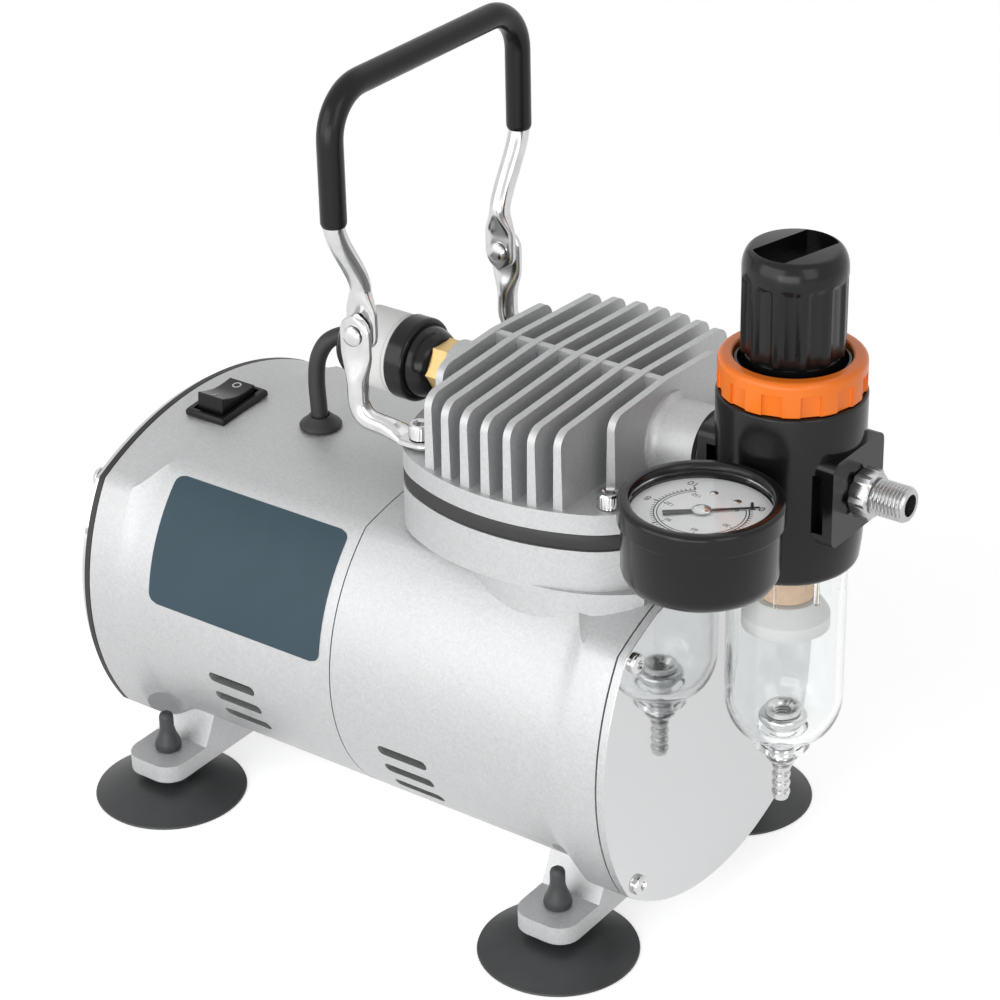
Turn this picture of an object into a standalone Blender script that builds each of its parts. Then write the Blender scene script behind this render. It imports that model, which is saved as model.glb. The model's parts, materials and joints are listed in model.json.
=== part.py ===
"""Airbrush compressor: a barrel motor with a finned head, a filter regulator and a carry handle.

The motor lies along X with the regulator at +X, and -Y is the side with the gauge. While the pieces
are made, x = 0 is the line where the two castings of the motor meet and z = 0 is the table.
"""

import math

import bmesh
import bpy
from mathutils import Matrix, Vector

MM = 0.001
TURN = 2 * math.pi
TO_X = Matrix.Rotation(math.radians(90), 4, "Y")
TO_Y = Matrix.Rotation(math.radians(-90), 4, "X")

# Fits
GAP = 0.3 * MM
RUNNING_GAP = 0.8 * MM
CUT_PAST = 1 * MM
SMOOTH_ANGLE = math.radians(32)

# Facets of round forms
LARGE_SIDES = 24
MIDDLE_SIDES = 16
SMALL_SIDES = 12
HOLE_SIDES = 8

# Motor castings
HALF_LENGTH = 90 * MM
AXIS_Z = 66 * MM
WALL = 6.2 * MM
CORNER_FADE = 25 * MM
END_LOWER = (45.5 * MM, 25.5 * MM)
END_UPPER = (47 * MM, 102.3 * MM)
END_RISES = (17 * MM, 11.4 * MM, 12.2 * MM)
BARREL_LOWER = (41.5 * MM, 25.9 * MM)
BARREL_UPPER = (38 * MM, 109.4 * MM)
BARREL_RISES = (17.6 * MM, 17.9 * MM, 5 * MM)
BARREL_RADIUS = 57.7 * MM
OUTLINE_STEPS = (6, 5, 4, 5)
FADE_SHARES = (0, 0.25, 0.55, 1)
WEB = 8 * MM
REAR_WEB_INSET = 26 * MM
FRONT_WEB_X = 5 * MM
SCREW_UPPER = (43 * MM, 99.3 * MM)
SCREW_LOWER = (41.3 * MM, 27.6 * MM)
VENT_LENGTH = 17 * MM
VENT_HEIGHT = 3 * MM
VENT_PITCH = 6 * MM
VENT_LOWEST_Z = 41 * MM
VENTS = 3
REAR_VENT_X = -38.5 * MM
FRONT_VENT_X = 22.5 * MM

# Covers and their screws
FRONT_COVER = 2.7 * MM
REAR_GASKET = 2 * MM
REAR_COVER = 2.5 * MM
GASKET_LAND = 0.9
SCREW_RADIUS = 1.5 * MM
SCREW_LENGTH = 9 * MM
SCREW_HEAD_RADIUS = 2.75 * MM
SCREW_HEAD = 2 * MM
LEAD_HOLE_RADIUS = 4 * MM
LEAD_HOLE_Z = 34 * MM

# Feet
FOOT_REAR_INSET = 16.3 * MM
FOOT_FRONT_INSET = 20 * MM
FOOT_Y = 46.9 * MM
FOOT_RADIUS = 23 * MM
FOOT_LAND = 1.6 * MM
FOOT_LIP = 0.7 * MM
FOOT_HOLLOW = 2.4 * MM
FOOT_SHOULDER = 4 * MM
FOOT_TOP = 9 * MM
FOOT_NECK_RADIUS = 2.6 * MM
FOOT_BULB_RADIUS = 3.9 * MM
FOOT_BULB = 2.6 * MM
FOOT_NIPPLE_RADIUS = 2 * MM
FOOT_NIPPLE_FROM = 6.6 * MM
FOOT_HEIGHT = 27.4 * MM
PAD_THICK = 5.5 * MM
PAD_HALF_WIDTH = 9.7 * MM
PAD_REACH = 10.1 * MM
PAD_CORNER = 6.3 * MM
PAD_CORNER_STEPS = 2
LUG_BACK = 22 * MM
LUG_SETBACK = 6 * MM
LUG_LEAN = 11 * MM

# Cylinder deck, diaphragm and head
HEAD_INSET = 44 * MM
FLANGE_HALF = 45.4 * MM
FLANGE_SIDE_RADIUS = 66 * MM
FLANGE_CORNER_AT = 28 * MM
FLANGE_STEPS = [4, 2]
NECK_RADIUS = 38 * MM
DECK_BOTTOM = 112 * MM
DECK_TOP = 125 * MM
DECK_BORE = 24 * MM
DIAPHRAGM_RIM = 4.4 * MM
DIAPHRAGM_SKIN = 2 * MM
DIAPHRAGM_DIP = 2.7 * MM
DIAPHRAGM_ROLL = 2 * MM
HEAD_FLANGE = 6 * MM
HEAD_SCREW_AT = 31 * MM
HEAD_SCREW_RADIUS = 2 * MM
HEAD_SCREW_HEAD_RADIUS = 3.25 * MM
HEAD_SCREW_HEAD = 4 * MM
HEAD_SCREW_DEPTH = 8 * MM
HEAD_SOCKET_RADIUS = 1.7 * MM
HEAD_SOCKET_DEPTH = 2 * MM
FINS = 9
FIN_PITCH = 7 * MM
FIN_THICK = 2.5 * MM
FIN_HEIGHT = 24 * MM
FIN_CROWN = 2 * MM
FIN_INSET = 1.5 * MM
FIN_CORNER = 4.5 * MM
FIN_CORNER_STEPS = 2
END_FIN_HALF = 26 * MM
RIB_HALF = 1.1 * MM
RIB_DROP = 0.4 * MM
PORT_Z = 143.7 * MM
PORT_BORE = 5.3 * MM
BOSS_RADIUS = 10.5 * MM
BOSS_FLARE = 13 * MM
FRONT_BOSS_SHORT = 2.4 * MM
REAR_BOSS_SHORT = 4.6 * MM
REAR_BOSS_RADIUS = 9 * MM
VALVE_PLATE_RADIUS = 26 * MM
VALVE_PLATE = 2.4 * MM
VALVE_PORT_RADIUS = 3 * MM
VALVE_PORT_AT = 11 * MM

# Rocker switch on the roof
SWITCH_INSET = 14.5 * MM
SWITCH_Y = -8 * MM
SWITCH_TILT = math.radians(5)
SWITCH_FRAME = (15 * MM, 21 * MM, 2.2 * MM)
SWITCH_BODY = (12.4 * MM, 18.8 * MM, 10 * MM)
SWITCH_SEAT = 0.6 * MM
ROCKER_HALF_WIDTH = 4.8 * MM
ROCKER_HALF_LENGTH = 7.4 * MM
ROCKER_END_HEIGHT = 3.4 * MM
ROCKER_MIDDLE_HEIGHT = 2.2 * MM
ROCKER_DEPTH = 3 * MM
ROCKER_ROOM = (0.5 * MM, 1.3 * MM)
ROCKER_TILT = math.radians(10)

# Lead from the motor to the pressure switch
LEAD_RADIUS = 2.5 * MM
GROMMET_X = -43 * MM
GROMMET_Y = -4 * MM
GROMMET_RADIUS = 6.2 * MM
GROMMET_HEIGHT = 3.4 * MM
GROMMET_NECK = 4.2 * MM
GROMMET_DEPTH = 5 * MM
LEAD_ROUTE = [(-43, -4, 113), (-43.4, -4, 121), (-43.8, -3.9, 129), (-43.2, -3.4, 136), (-40.6, -2.2, 141.4)]
LEAD_POINTS = 8

# Pressure switch behind the head
BRASS_FLATS = 14 * MM
BRASS_HEX = 12.4 * MM
BRASS_THREAD = 9 * MM
COLLAR_RADIUS = 12.2 * MM
COLLAR_LENGTH = 6.4 * MM
COLLAR_DISH = (9.4 * MM, 1.6 * MM)
COLLAR_EDGE = 0.7 * MM
PRESSURE_BODY_RADIUS = 11.6 * MM
PRESSURE_BODY = 14 * MM
PRESSURE_CAP_RADIUS = 9.6 * MM
PRESSURE_CAP = 6 * MM

# Carry handle
PIVOT_SETBACK = 49 * MM
PIVOT_Z = 166.5 * MM
EAR_Y = 35 * MM
EAR_HALF = 1.3 * MM
EAR_HALF_WIDTH = 5 * MM
EAR_REACH = 5.5 * MM
TAB_GAP = 0.4 * MM
BRACKET_HALF = 3 * MM
# Bend of a bracket: shares of its run, rise and sideways shift, then width and depth in rod halves.
BRACKET_BEND = (
    (0.5, 0.06, 0.4, 1.13, 0.8),
    (0.73, 0.13, 0.7, 1, 1),
    (0.92, 0.24, 0.9, 1, 1),
    (1, 0.42, 1, 1, 1),
    (1, 0.62, 1, 0.87, 1.2),
)
EYE_HALF = 1.2 * MM
EYE_HALF_WIDTH = 4.4 * MM
EYE_REACH = 4.6 * MM
ROD_RADIUS = 3 * MM
GRIP_RADIUS = 3.7 * MM
GRIP_Y = 42 * MM
GRIP_FROM_Z = 199.8 * MM
JOGGLE_FROM_Z = 183 * MM
HANDLE_TOP_Z = 237.5 * MM
HANDLE_BEND = 13 * MM
PIVOT_RADIUS = 2 * MM
PIVOT_HEAD_RADIUS = 3.4 * MM
PIVOT_HEAD = 1.8 * MM
ROD_SIDES = 8
BEND_STEPS = 3

# Filter regulator
REGULATOR_RADIUS = 19.9 * MM
REGULATOR_BOTTOM = 118.4 * MM
REGULATOR_TOP = 168 * MM
REGULATOR_EDGE = 3 * MM
REGULATOR_TAPER = 0.8 * MM
PORT_FACE = 20.5 * MM
PORT_HALF_WIDTH = 13 * MM
PORT_BLOCK = (131.5 * MM, 156 * MM)
PORT_DEPTH = 9 * MM
POCKET_X = (14.6 * MM, 17.7 * MM)
POCKET_FLOOR = 8.5 * MM
POCKET_Z = (135.4 * MM, 152 * MM)
INLET_RING = 3 * MM
INLET_RING_RADIUS = 11.5 * MM
BONNET_FOOT_RADIUS = 15.2 * MM
BONNET_NECK_RADIUS = 12.6 * MM
BONNET_TUBE_RADIUS = 9.8 * MM
BONNET_LEVELS = (3.7 * MM, 10.2 * MM, 15.7 * MM)
BONNET_EDGE = 1 * MM
LOCK_RING_RADIUS = 19.5 * MM
LOCK_RING_BORE = 15.6 * MM
LOCK_RING = 9.7 * MM
LOCK_RING_CHAMFER = 1.6 * MM
LOCK_RING_NOTCHES = 12
LOCK_RING_NOTCH = (5.4 * MM, 1 * MM, 6 * MM)
KNOB_RADIUS = 13.8 * MM
KNOB_BOTTOM = 178.8 * MM
KNOB_TOP = 207.5 * MM
KNOB_WALL = 3.2 * MM
KNOB_ROOF = 12 * MM
KNOB_RIBS = 12
KNOB_FLUTE = 0.7 * MM
KNOB_CROWN = ((0.8 * MM, 0.9), (2.4 * MM, 1))
KNOB_SLOT = (11.4 * MM, 6 * MM, 4.5 * MM)
KNOB_SLOT_STEPS = 4
KNOB_SLOT_ANGLE = math.radians(-15)
SCREW_SHAFT_RADIUS = 4.6 * MM
SCREW_SHAFT_DEPTH = 18 * MM
SCREW_DRIVE_RADIUS = 8 * MM
SCREW_DRIVE = 5 * MM

# Filter bowl
BOWL_RADIUS = 16.2 * MM
BOWL_WALL = 2 * MM
BOWL_SOCKET = 6 * MM
BOWL_SHOULDER_Z = 76 * MM
BOWL_BOTTOM_Z = 63 * MM
BOWL_NECK_RADIUS = 7.6 * MM
BOWL_NECK_Z = 58 * MM
BOWL_EDGE = 1 * MM
BOWL_ARC = math.radians(62)
BOWL_ARC_SHARES = (0.5, 1)
BOWL_DRAIN_HOLE = 3.9 * MM
FILTER_RADIUS = 7.5 * MM
FILTER_BOTTOM = 107 * MM
BAFFLE_ROOM = 2.2 * MM
BAFFLE_SKIRT = 8.5 * MM
BAFFLE_WALL = 1.2 * MM
BAFFLE_HOLLOW = 2 * MM
DRAIN_NUT_RADIUS = 6.8 * MM
DRAIN_NUT = 4.2 * MM
DRAIN_NUT_FOOT = (5.6 * MM, 1.6 * MM)
DRAIN_NUT_EDGE = 1 * MM
DRAIN_STEM_RADIUS = 3.4 * MM
DRAIN_BARB_RADIUS = 2.6 * MM
DRAIN_BARB_ROOT = 2 * MM
DRAIN_STOP_RADIUS = 5 * MM
DRAIN_STOP = 1.4 * MM
DRAIN_BORE = 1.1 * MM
DRAIN_BOTTOM = 41 * MM
DRAIN_CONE_TOP = 55 * MM
DRAIN_CONE = 2.6 * MM
DRAIN_CONE_RADIUS = 4.4 * MM
DRAIN_BARBS = 4

# Pressure gauge
GAUGE_Y = -43.2 * MM
GAUGE_RADIUS = 21.4 * MM
GAUGE_CUP_RADIUS = 20.5 * MM
GAUGE_BOTTOM = 131.7 * MM
GAUGE_STEP = 148.5 * MM
GAUGE_TOP = 154.8 * MM
GAUGE_WALL = 1.8 * MM
GAUGE_LIP = 1.6 * MM
GAUGE_LIP_INSIDE = 18 * MM
GAUGE_LIP_SLOPE = 0.5 * MM
GAUGE_EDGE = 1.2 * MM
GAUGE_FOOT_EDGE = 1.8 * MM
GAUGE_STEM_RADIUS = 5 * MM
GAUGE_BOSS_RADIUS = 9 * MM
GAUGE_BOSS_FACE = 21.1 * MM
LENS = 1.2 * MM
DIAL = 0.8 * MM
DIAL_DROP = 4.8 * MM
NEEDLE_LENGTH = 15 * MM
NEEDLE_TAIL = 10 * MM
NEEDLE_HALF_WIDTH = 0.55 * MM
NEEDLE = 0.5 * MM
NEEDLE_HUB_RADIUS = 1.8 * MM
NEEDLE_HUB = (-0.1 * MM, 0.65 * MM)
NEEDLE_ZERO = math.radians(40)

# Outlet nipple
NIPPLE_FLATS = 12 * MM
NIPPLE_HEX = 5.6 * MM
NIPPLE_THREAD_RADIUS = 4.9 * MM
NIPPLE_THREAD = 9.5 * MM
NIPPLE_BORE = 3 * MM

# Motor and drive inside the castings
SHAFT_RADIUS = 4 * MM
SHAFT_REAR_INSET = 8 * MM
SHAFT_PAST_HEAD = 10 * MM
BEARING_RADIUS = 11 * MM
ROTOR_RADIUS = 21.5 * MM
STACK = (-42 * MM, -8 * MM)
WINDING_RADIUS = (26 * MM, 37 * MM)
WINDING = 6 * MM
ECCENTRIC = 2.5 * MM
ECCENTRIC_RADIUS = 10 * MM
ROD_THICK = 10 * MM
ROD_EYE_RADIUS = 15 * MM
ROD_HALF_WIDTH = 4.5 * MM
ROD_OVERLAP = 1.5 * MM
CLAMP_RADIUS = 16 * MM
CLAMP = 2.6 * MM
STUD_RADIUS = 3 * MM
FAN_RADIUS = 38 * MM
FAN_HUB_RADIUS = 9 * MM
FAN_INSET_X = 10 * MM
FAN_WIDTH = 10 * MM
FAN_BLADES = 6
FAN_BLADE = 1.6 * MM
FAN_INSET = 1 * MM
FAN_ROOT = 2 * MM

# Places that follow from the sizes above
REAR_WEB_X = REAR_WEB_INSET - HALF_LENGTH
FOOT_REAR_X = FOOT_REAR_INSET - HALF_LENGTH
FOOT_FRONT_X = HALF_LENGTH - FOOT_FRONT_INSET
HEAD_X = HALF_LENGTH - HEAD_INSET
SWITCH_X = SWITCH_INSET - HALF_LENGTH
PIVOT_X = HEAD_X - PIVOT_SETBACK
SHAFT_REAR_X = SHAFT_REAR_INSET - HALF_LENGTH
SHAFT_FRONT_X = HEAD_X + SHAFT_PAST_HEAD
FAN_X = FAN_INSET_X - HALF_LENGTH
BAFFLE_RADIUS = BOWL_RADIUS - BOWL_WALL - BAFFLE_ROOM
FRONT_FACE_X = HALF_LENGTH + GAP + FRONT_COVER
REAR_GASKET_X = -HALF_LENGTH - GAP
REAR_COVER_X = REAR_GASKET_X - REAR_GASKET - GAP
REAR_FACE_X = REAR_COVER_X - REAR_COVER
REAR_END_X = min(REAR_FACE_X - GAP - SCREW_HEAD, FOOT_REAR_X - FOOT_RADIUS)
PAD_BOTTOM = FOOT_TOP + GAP
PAD_TOP = PAD_BOTTOM + PAD_THICK
HEAD_BOTTOM = DECK_TOP + GAP + DIAPHRAGM_RIM + GAP
HEAD_TOP = HEAD_BOTTOM + HEAD_FLANGE
FIN_TOP = HEAD_TOP + FIN_HEIGHT
FIRST_FIN_X = HEAD_X - FIN_PITCH * (FINS - 1) / 2
LAST_FIN_X = HEAD_X + FIN_PITCH * (FINS - 1) / 2
FRONT_BOSS_END_X = HEAD_X + FLANGE_HALF - FRONT_BOSS_SHORT
REAR_BOSS_END_X = HEAD_X - FLANGE_HALF + REAR_BOSS_SHORT
FRONT_BOSS = FRONT_BOSS_END_X - LAST_FIN_X
REGULATOR_X = FRONT_BOSS_END_X + GAP + INLET_RING + GAP + PORT_FACE
OUTLET_X = REGULATOR_X + PORT_FACE
NIPPLE_END_X = OUTLET_X + GAP + NIPPLE_HEX + NIPPLE_THREAD
EYE_Z = HEAD_TOP + GAP + EYE_HALF
TAB_Y = EAR_Y - 2 * EAR_HALF - TAB_GAP
BRASS_X = REAR_BOSS_END_X - GAP
COLLAR_X = BRASS_X - BRASS_HEX - GAP + COLLAR_DISH[1]
BODY_X = COLLAR_X - COLLAR_LENGTH - GAP
CAP_X = BODY_X - PRESSURE_BODY - GAP
CAP_END_X = CAP_X - PRESSURE_CAP
SEAT_Z = REGULATOR_TOP + GAP
DIAL_Z = GAUGE_TOP - DIAL_DROP - DIAL
ASSEMBLY_X = -(REAR_END_X + NIPPLE_END_X) / 2

FINISHES = {
    "cast_aluminium": ((0.60, 0.61, 0.62), 0.42, 1.0),
    "machined_aluminium": ((0.72, 0.73, 0.74), 0.22, 1.0),
    "bright_steel": ((0.70, 0.71, 0.72), 0.18, 1.0),
    "lamination_steel": ((0.22, 0.23, 0.24), 0.45, 1.0),
    "brass": ((0.78, 0.55, 0.24), 0.30, 1.0),
    "sintered_bronze": ((0.72, 0.50, 0.32), 0.85, 0.0),
    "rubber": ((0.05, 0.055, 0.055), 0.55, 0.0),
    "black_plastic": ((0.02, 0.022, 0.022), 0.25, 0.0),
    "orange_plastic": ((0.91, 0.20, 0.02), 0.32, 0.0),
    "white_plastic": ((0.80, 0.80, 0.79), 0.45, 0.0),
    "clear_plastic": ((0.92, 0.95, 0.95), 0.06, 0.0),
}


# Modelling helpers

def finish(name):
    """Return the material of one finish, made the first time it is asked for."""
    material = bpy.data.materials.get(name)
    if material:
        return material
    colour, roughness, metallic = FINISHES[name]
    material = bpy.data.materials.new(name)
    material.use_nodes = True
    shader = material.node_tree.nodes["Principled BSDF"]
    shader.inputs["Base Color"].default_value = (*colour, 1)
    shader.inputs["Roughness"].default_value = roughness
    shader.inputs["Metallic"].default_value = metallic
    return material


def piece(name, form, finish_name, parent, place=(0, 0, 0), turn=(0, 0, 0)):
    """Turn a bmesh into a named, smooth-shaded object."""
    bmesh.ops.recalc_face_normals(form, faces=form.faces)
    mesh = bpy.data.meshes.new(name)
    form.to_mesh(mesh)
    form.free()
    mesh.materials.append(finish(finish_name))
    mesh.shade_smooth()
    mesh.set_sharp_from_angle(angle=SMOOTH_ANGLE)
    made = bpy.data.objects.new(name, mesh)
    bpy.context.scene.collection.objects.link(made)
    made.parent = parent
    made.location = place
    made.rotation_euler = turn
    return made


def tool(target, form, operation="DIFFERENCE", place=(0, 0, 0), turn=(0, 0, 0)):
    """Cut a form out of an object, or join it on, with a Boolean modifier."""
    name = target.name + "_" + operation.lower() + str(len(target.modifiers))
    cutter = piece(name, form, target.data.materials[0].name, target.parent, place, turn)
    cutter.hide_render = True
    cutter.display_type = "WIRE"
    modifier = target.modifiers.new(name, "BOOLEAN")
    modifier.operation = operation
    modifier.object = cutter
    modifier.solver = "MANIFOLD"


def join(target, form, place=(0, 0, 0), turn=(0, 0, 0)):
    """Join a form onto an object."""
    tool(target, form, "UNION", place, turn)


def skin(form, rings, closed=False):
    """Skin rings of points that have equal counts; a closed skin runs back to its first ring."""
    made = [[form.verts.new(point) for point in ring] for ring in rings]
    pairs = list(zip(made, made[1:]))
    if closed:
        pairs.append((made[-1], made[0]))
    for low, high in pairs:
        count = len(low)
        for index in range(count):
            after = (index + 1) % count
            form.faces.new((low[index], low[after], high[after], high[index]))
    if not closed:
        form.faces.new(list(reversed(made[0])))
        form.faces.new(made[-1])


def stack(levels, closed=False, axis=None):
    """Skin flat outlines stacked along Z, each given as (outline, height), then lay it along an axis."""
    form = bmesh.new()
    skin(form, [[(u, v, height) for u, v in outline] for outline, height in levels], closed)
    if axis:
        form.transform(axis)
    return form


def circle(radius, sides):
    """Points round a circle."""
    angles = [TURN * index / sides for index in range(sides)]
    return [(radius * math.cos(angle), radius * math.sin(angle)) for angle in angles]


def hexagon(flats, sides):
    """Points round a hexagon, as many as sides, so that it meets a circle of the same count."""
    points = []
    for index in range(sides):
        angle = TURN * index / sides
        off_flat = (angle + TURN / 12) % (TURN / 6) - TURN / 12
        reach = flats / 2 / math.cos(off_flat)
        points.append((reach * math.cos(angle), reach * math.sin(angle)))
    return points


def turned(profile, sides, closed=False, axis=None):
    """Turn a (radius, height) profile."""
    return stack([(circle(radius, sides), height) for radius, height in profile], closed, axis)


def drill(radius, start, end, sides=HOLE_SIDES, axis=None):
    """A round cutter from one height to another."""
    return turned([(radius, start), (radius, end)], sides, axis=axis)


def prism(outline, low, high, axis=None):
    """Extrude an outline along Z, or along an axis."""
    return stack([(outline, low), (outline, high)], axis=axis)


def box(size_x, size_y, low, high):
    """A box centred on Z."""
    half_x = size_x / 2
    half_y = size_y / 2
    outline = [(-half_x, -half_y), (half_x, -half_y), (half_x, half_y), (-half_x, half_y)]
    return prism(outline, low, high)


def together(forms):
    """Put forms that don't touch into one, as a single cutter."""
    whole = bmesh.new()
    for form in forms:
        mesh = bpy.data.meshes.new("together")
        form.to_mesh(mesh)
        form.free()
        whole.from_mesh(mesh)
        bpy.data.meshes.remove(mesh)
    return whole


def moved(form, x=0.0, y=0.0, z=0.0):
    """Shift a form."""
    form.transform(Matrix.Translation((x, y, z)))
    return form


def arc(start, end, rise, steps):
    """Points from start towards end on an arc that bulges to the right by rise, without the end."""
    begin = Vector(start)
    chord = Vector(end) - begin
    half = chord.length / 2
    radius = (half * half + rise * rise) / (2 * rise)
    left = Vector((-chord.y, chord.x)).normalized()
    centre = begin + chord / 2 + left * (radius - rise)
    first = begin - centre
    opening = 2 * math.atan2(half, radius - rise)
    points = []
    for index in range(steps):
        turn = Matrix.Rotation(opening * index / steps, 2)
        points.append(tuple(centre + turn @ first))
    return points


def ring_of_arcs(corners, rises, steps):
    """A closed outline whose corners are joined by arcs."""
    points = []
    for index, corner in enumerate(corners):
        following = corners[(index + 1) % len(corners)]
        points += arc(corner, following, rises[index], steps[index])
    return points


def mix(first, second, share):
    """Blend two numbers or two tuples."""
    if isinstance(first, tuple):
        return tuple(mix(one, other, share) for one, other in zip(first, second))
    return first + (second - first) * share


def bar(stations, across, sides):
    """Skin a bar through (point, half width along across, half depth) stations."""
    form = bmesh.new()
    rings = []
    last = len(stations) - 1
    for index, (point, half_across, half_depth) in enumerate(stations):
        ahead = stations[min(index + 1, last)][0] - stations[max(index - 1, 0)][0]
        depth = ahead.cross(across).normalized()
        ring = []
        for step in range(sides):
            angle = TURN * (step + 0.5) / sides
            ring.append(point + across * half_across * math.cos(angle) + depth * half_depth * math.sin(angle))
        rings.append(ring)
    skin(form, rings)
    return form


def rounded_path(points, bend, steps):
    """Round the inner corners of a path with arcs of one radius."""
    path = [points[0]]
    for before, corner, after in zip(points, points[1:], points[2:]):
        back = (before - corner).normalized()
        on = (after - corner).normalized()
        half = back.angle(on) / 2
        reach = bend / math.tan(half)
        centre = corner + (back + on).normalized() * (bend / math.sin(half))
        first = corner + back * reach - centre
        second = corner + on * reach - centre
        opening = first.angle(second)
        for index in range(steps + 1):
            share = index / steps
            spread = first * math.sin((1 - share) * opening) + second * math.sin(share * opening)
            path.append(centre + spread / math.sin(opening))
    path.append(points[-1])
    return path


# Motor castings

def housing_outline(fade, scale=1.0):
    """Cross-section (y, z) of the castings: cornered at the end face, round along the barrel."""
    lower_y, lower_z = mix(END_LOWER, BARREL_LOWER, fade)
    upper_y, upper_z = mix(END_UPPER, BARREL_UPPER, fade)
    bottom, side, roof = mix(END_RISES, BARREL_RISES, fade)
    corners = [(-lower_y, lower_z), (lower_y, lower_z), (upper_y, upper_z), (-upper_y, upper_z)]
    points = ring_of_arcs(corners, [bottom, side, roof, side], OUTLINE_STEPS)
    return [(y * scale, AXIS_Z + (z - AXIS_Z) * scale) for y, z in points]


def housing_slice(outline, x):
    """Stand a (y, z) outline at x."""
    return [(x, y, z) for y, z in outline]


def housing_prism(outline, x_low, x_high):
    """Extrude a (y, z) outline along X."""
    form = bmesh.new()
    skin(form, [housing_slice(outline, x_low), housing_slice(outline, x_high)])
    return form


def roof_height(y, fade):
    """Height of the roof over the axis at y."""
    upper_y, upper_z = mix(END_UPPER, BARREL_UPPER, fade)
    rise = mix(END_RISES, BARREL_RISES, fade)[2]
    radius = (upper_y * upper_y + rise * rise) / (2 * rise)
    return upper_z + rise - radius + math.sqrt(radius * radius - y * y)


def end_fade(distance):
    """How far the end corners have faded at a distance from the end face, from 0 to 1."""
    share = min(distance / CORNER_FADE, 1)
    return share * share * (3 - 2 * share)


def cover_screws():
    """The four (y, z) places of the cover screws."""
    return [(side * y, z) for y, z in (SCREW_UPPER, SCREW_LOWER) for side in (-1, 1)]


def vent_z():
    """Heights of the vent slots."""
    return [VENT_LOWEST_Z + VENT_PITCH * index for index in range(VENTS)]


def flange_outline(shrink=0.0):
    """The bulged square of the deck and the head, with its corners rounded tangent to the sides."""
    half = FLANGE_HALF - shrink
    lean = math.asin(FLANGE_CORNER_AT / FLANGE_SIDE_RADIUS)
    side_rise = FLANGE_SIDE_RADIUS * (1 - math.cos(lean))
    edge = half - side_rise
    corner_half = math.hypot(edge - FLANGE_CORNER_AT, edge - FLANGE_CORNER_AT) / 2
    corner_rise = corner_half * math.tan((math.radians(45) - lean) / 2)
    corners = []
    for quarter in range(4):
        turn = Matrix.Rotation(TURN * quarter / 4, 2)
        corners.append(tuple(turn @ Vector((-FLANGE_CORNER_AT, -edge))))
        corners.append(tuple(turn @ Vector((FLANGE_CORNER_AT, -edge))))
    return ring_of_arcs(corners, [side_rise, corner_rise] * 4, FLANGE_STEPS * 4)


def flange_edge(offset):
    """Half depth of the flange at an offset along X from the head's centre."""
    return FLANGE_HALF - FLANGE_SIDE_RADIUS + math.sqrt(FLANGE_SIDE_RADIUS ** 2 - offset ** 2)


def head_screws():
    """The four (x, y) places of the head screws, rear pair first."""
    return [(HEAD_X + end * HEAD_SCREW_AT, side * HEAD_SCREW_AT) for end in (-1, 1) for side in (-1, 1)]


def pad_outline(foot_x, side):
    """Plan of a foot pad with its free corners rounded."""
    tip = side * (FOOT_Y + PAD_REACH)
    back = side * LUG_BACK
    near = tip - side * PAD_CORNER
    outline = [(-PAD_HALF_WIDTH, back)]
    for corner_side, first in ((-1, 2), (1, 1)):
        for index in range(PAD_CORNER_STEPS + 1):
            angle = TURN / 4 * (first - index / PAD_CORNER_STEPS)
            x = corner_side * (PAD_HALF_WIDTH - PAD_CORNER) + PAD_CORNER * math.cos(angle)
            outline.append((x, near + side * PAD_CORNER * math.sin(angle)))
    outline.append((PAD_HALF_WIDTH, back))
    return [(foot_x + x, y) for x, y in outline]


def lug(foot_x, side):
    """Upright of a foot lug, from the pad into the barrel, with its outer face leaning inwards."""
    foot = FOOT_Y - LUG_SETBACK
    low = PAD_BOTTOM + GAP
    top = AXIS_Z - BARREL_RADIUS / 2
    half = PAD_HALF_WIDTH - GAP
    form = bmesh.new()
    rings = []
    for front, z in ((foot, low), (foot, PAD_TOP), (foot - LUG_LEAN, top)):
        corners = [(-half, front), (half, front), (half, LUG_BACK + GAP), (-half, LUG_BACK + GAP)]
        rings.append([(foot_x + x, side * y, z) for x, y in corners])
    skin(form, rings)
    return form


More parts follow.
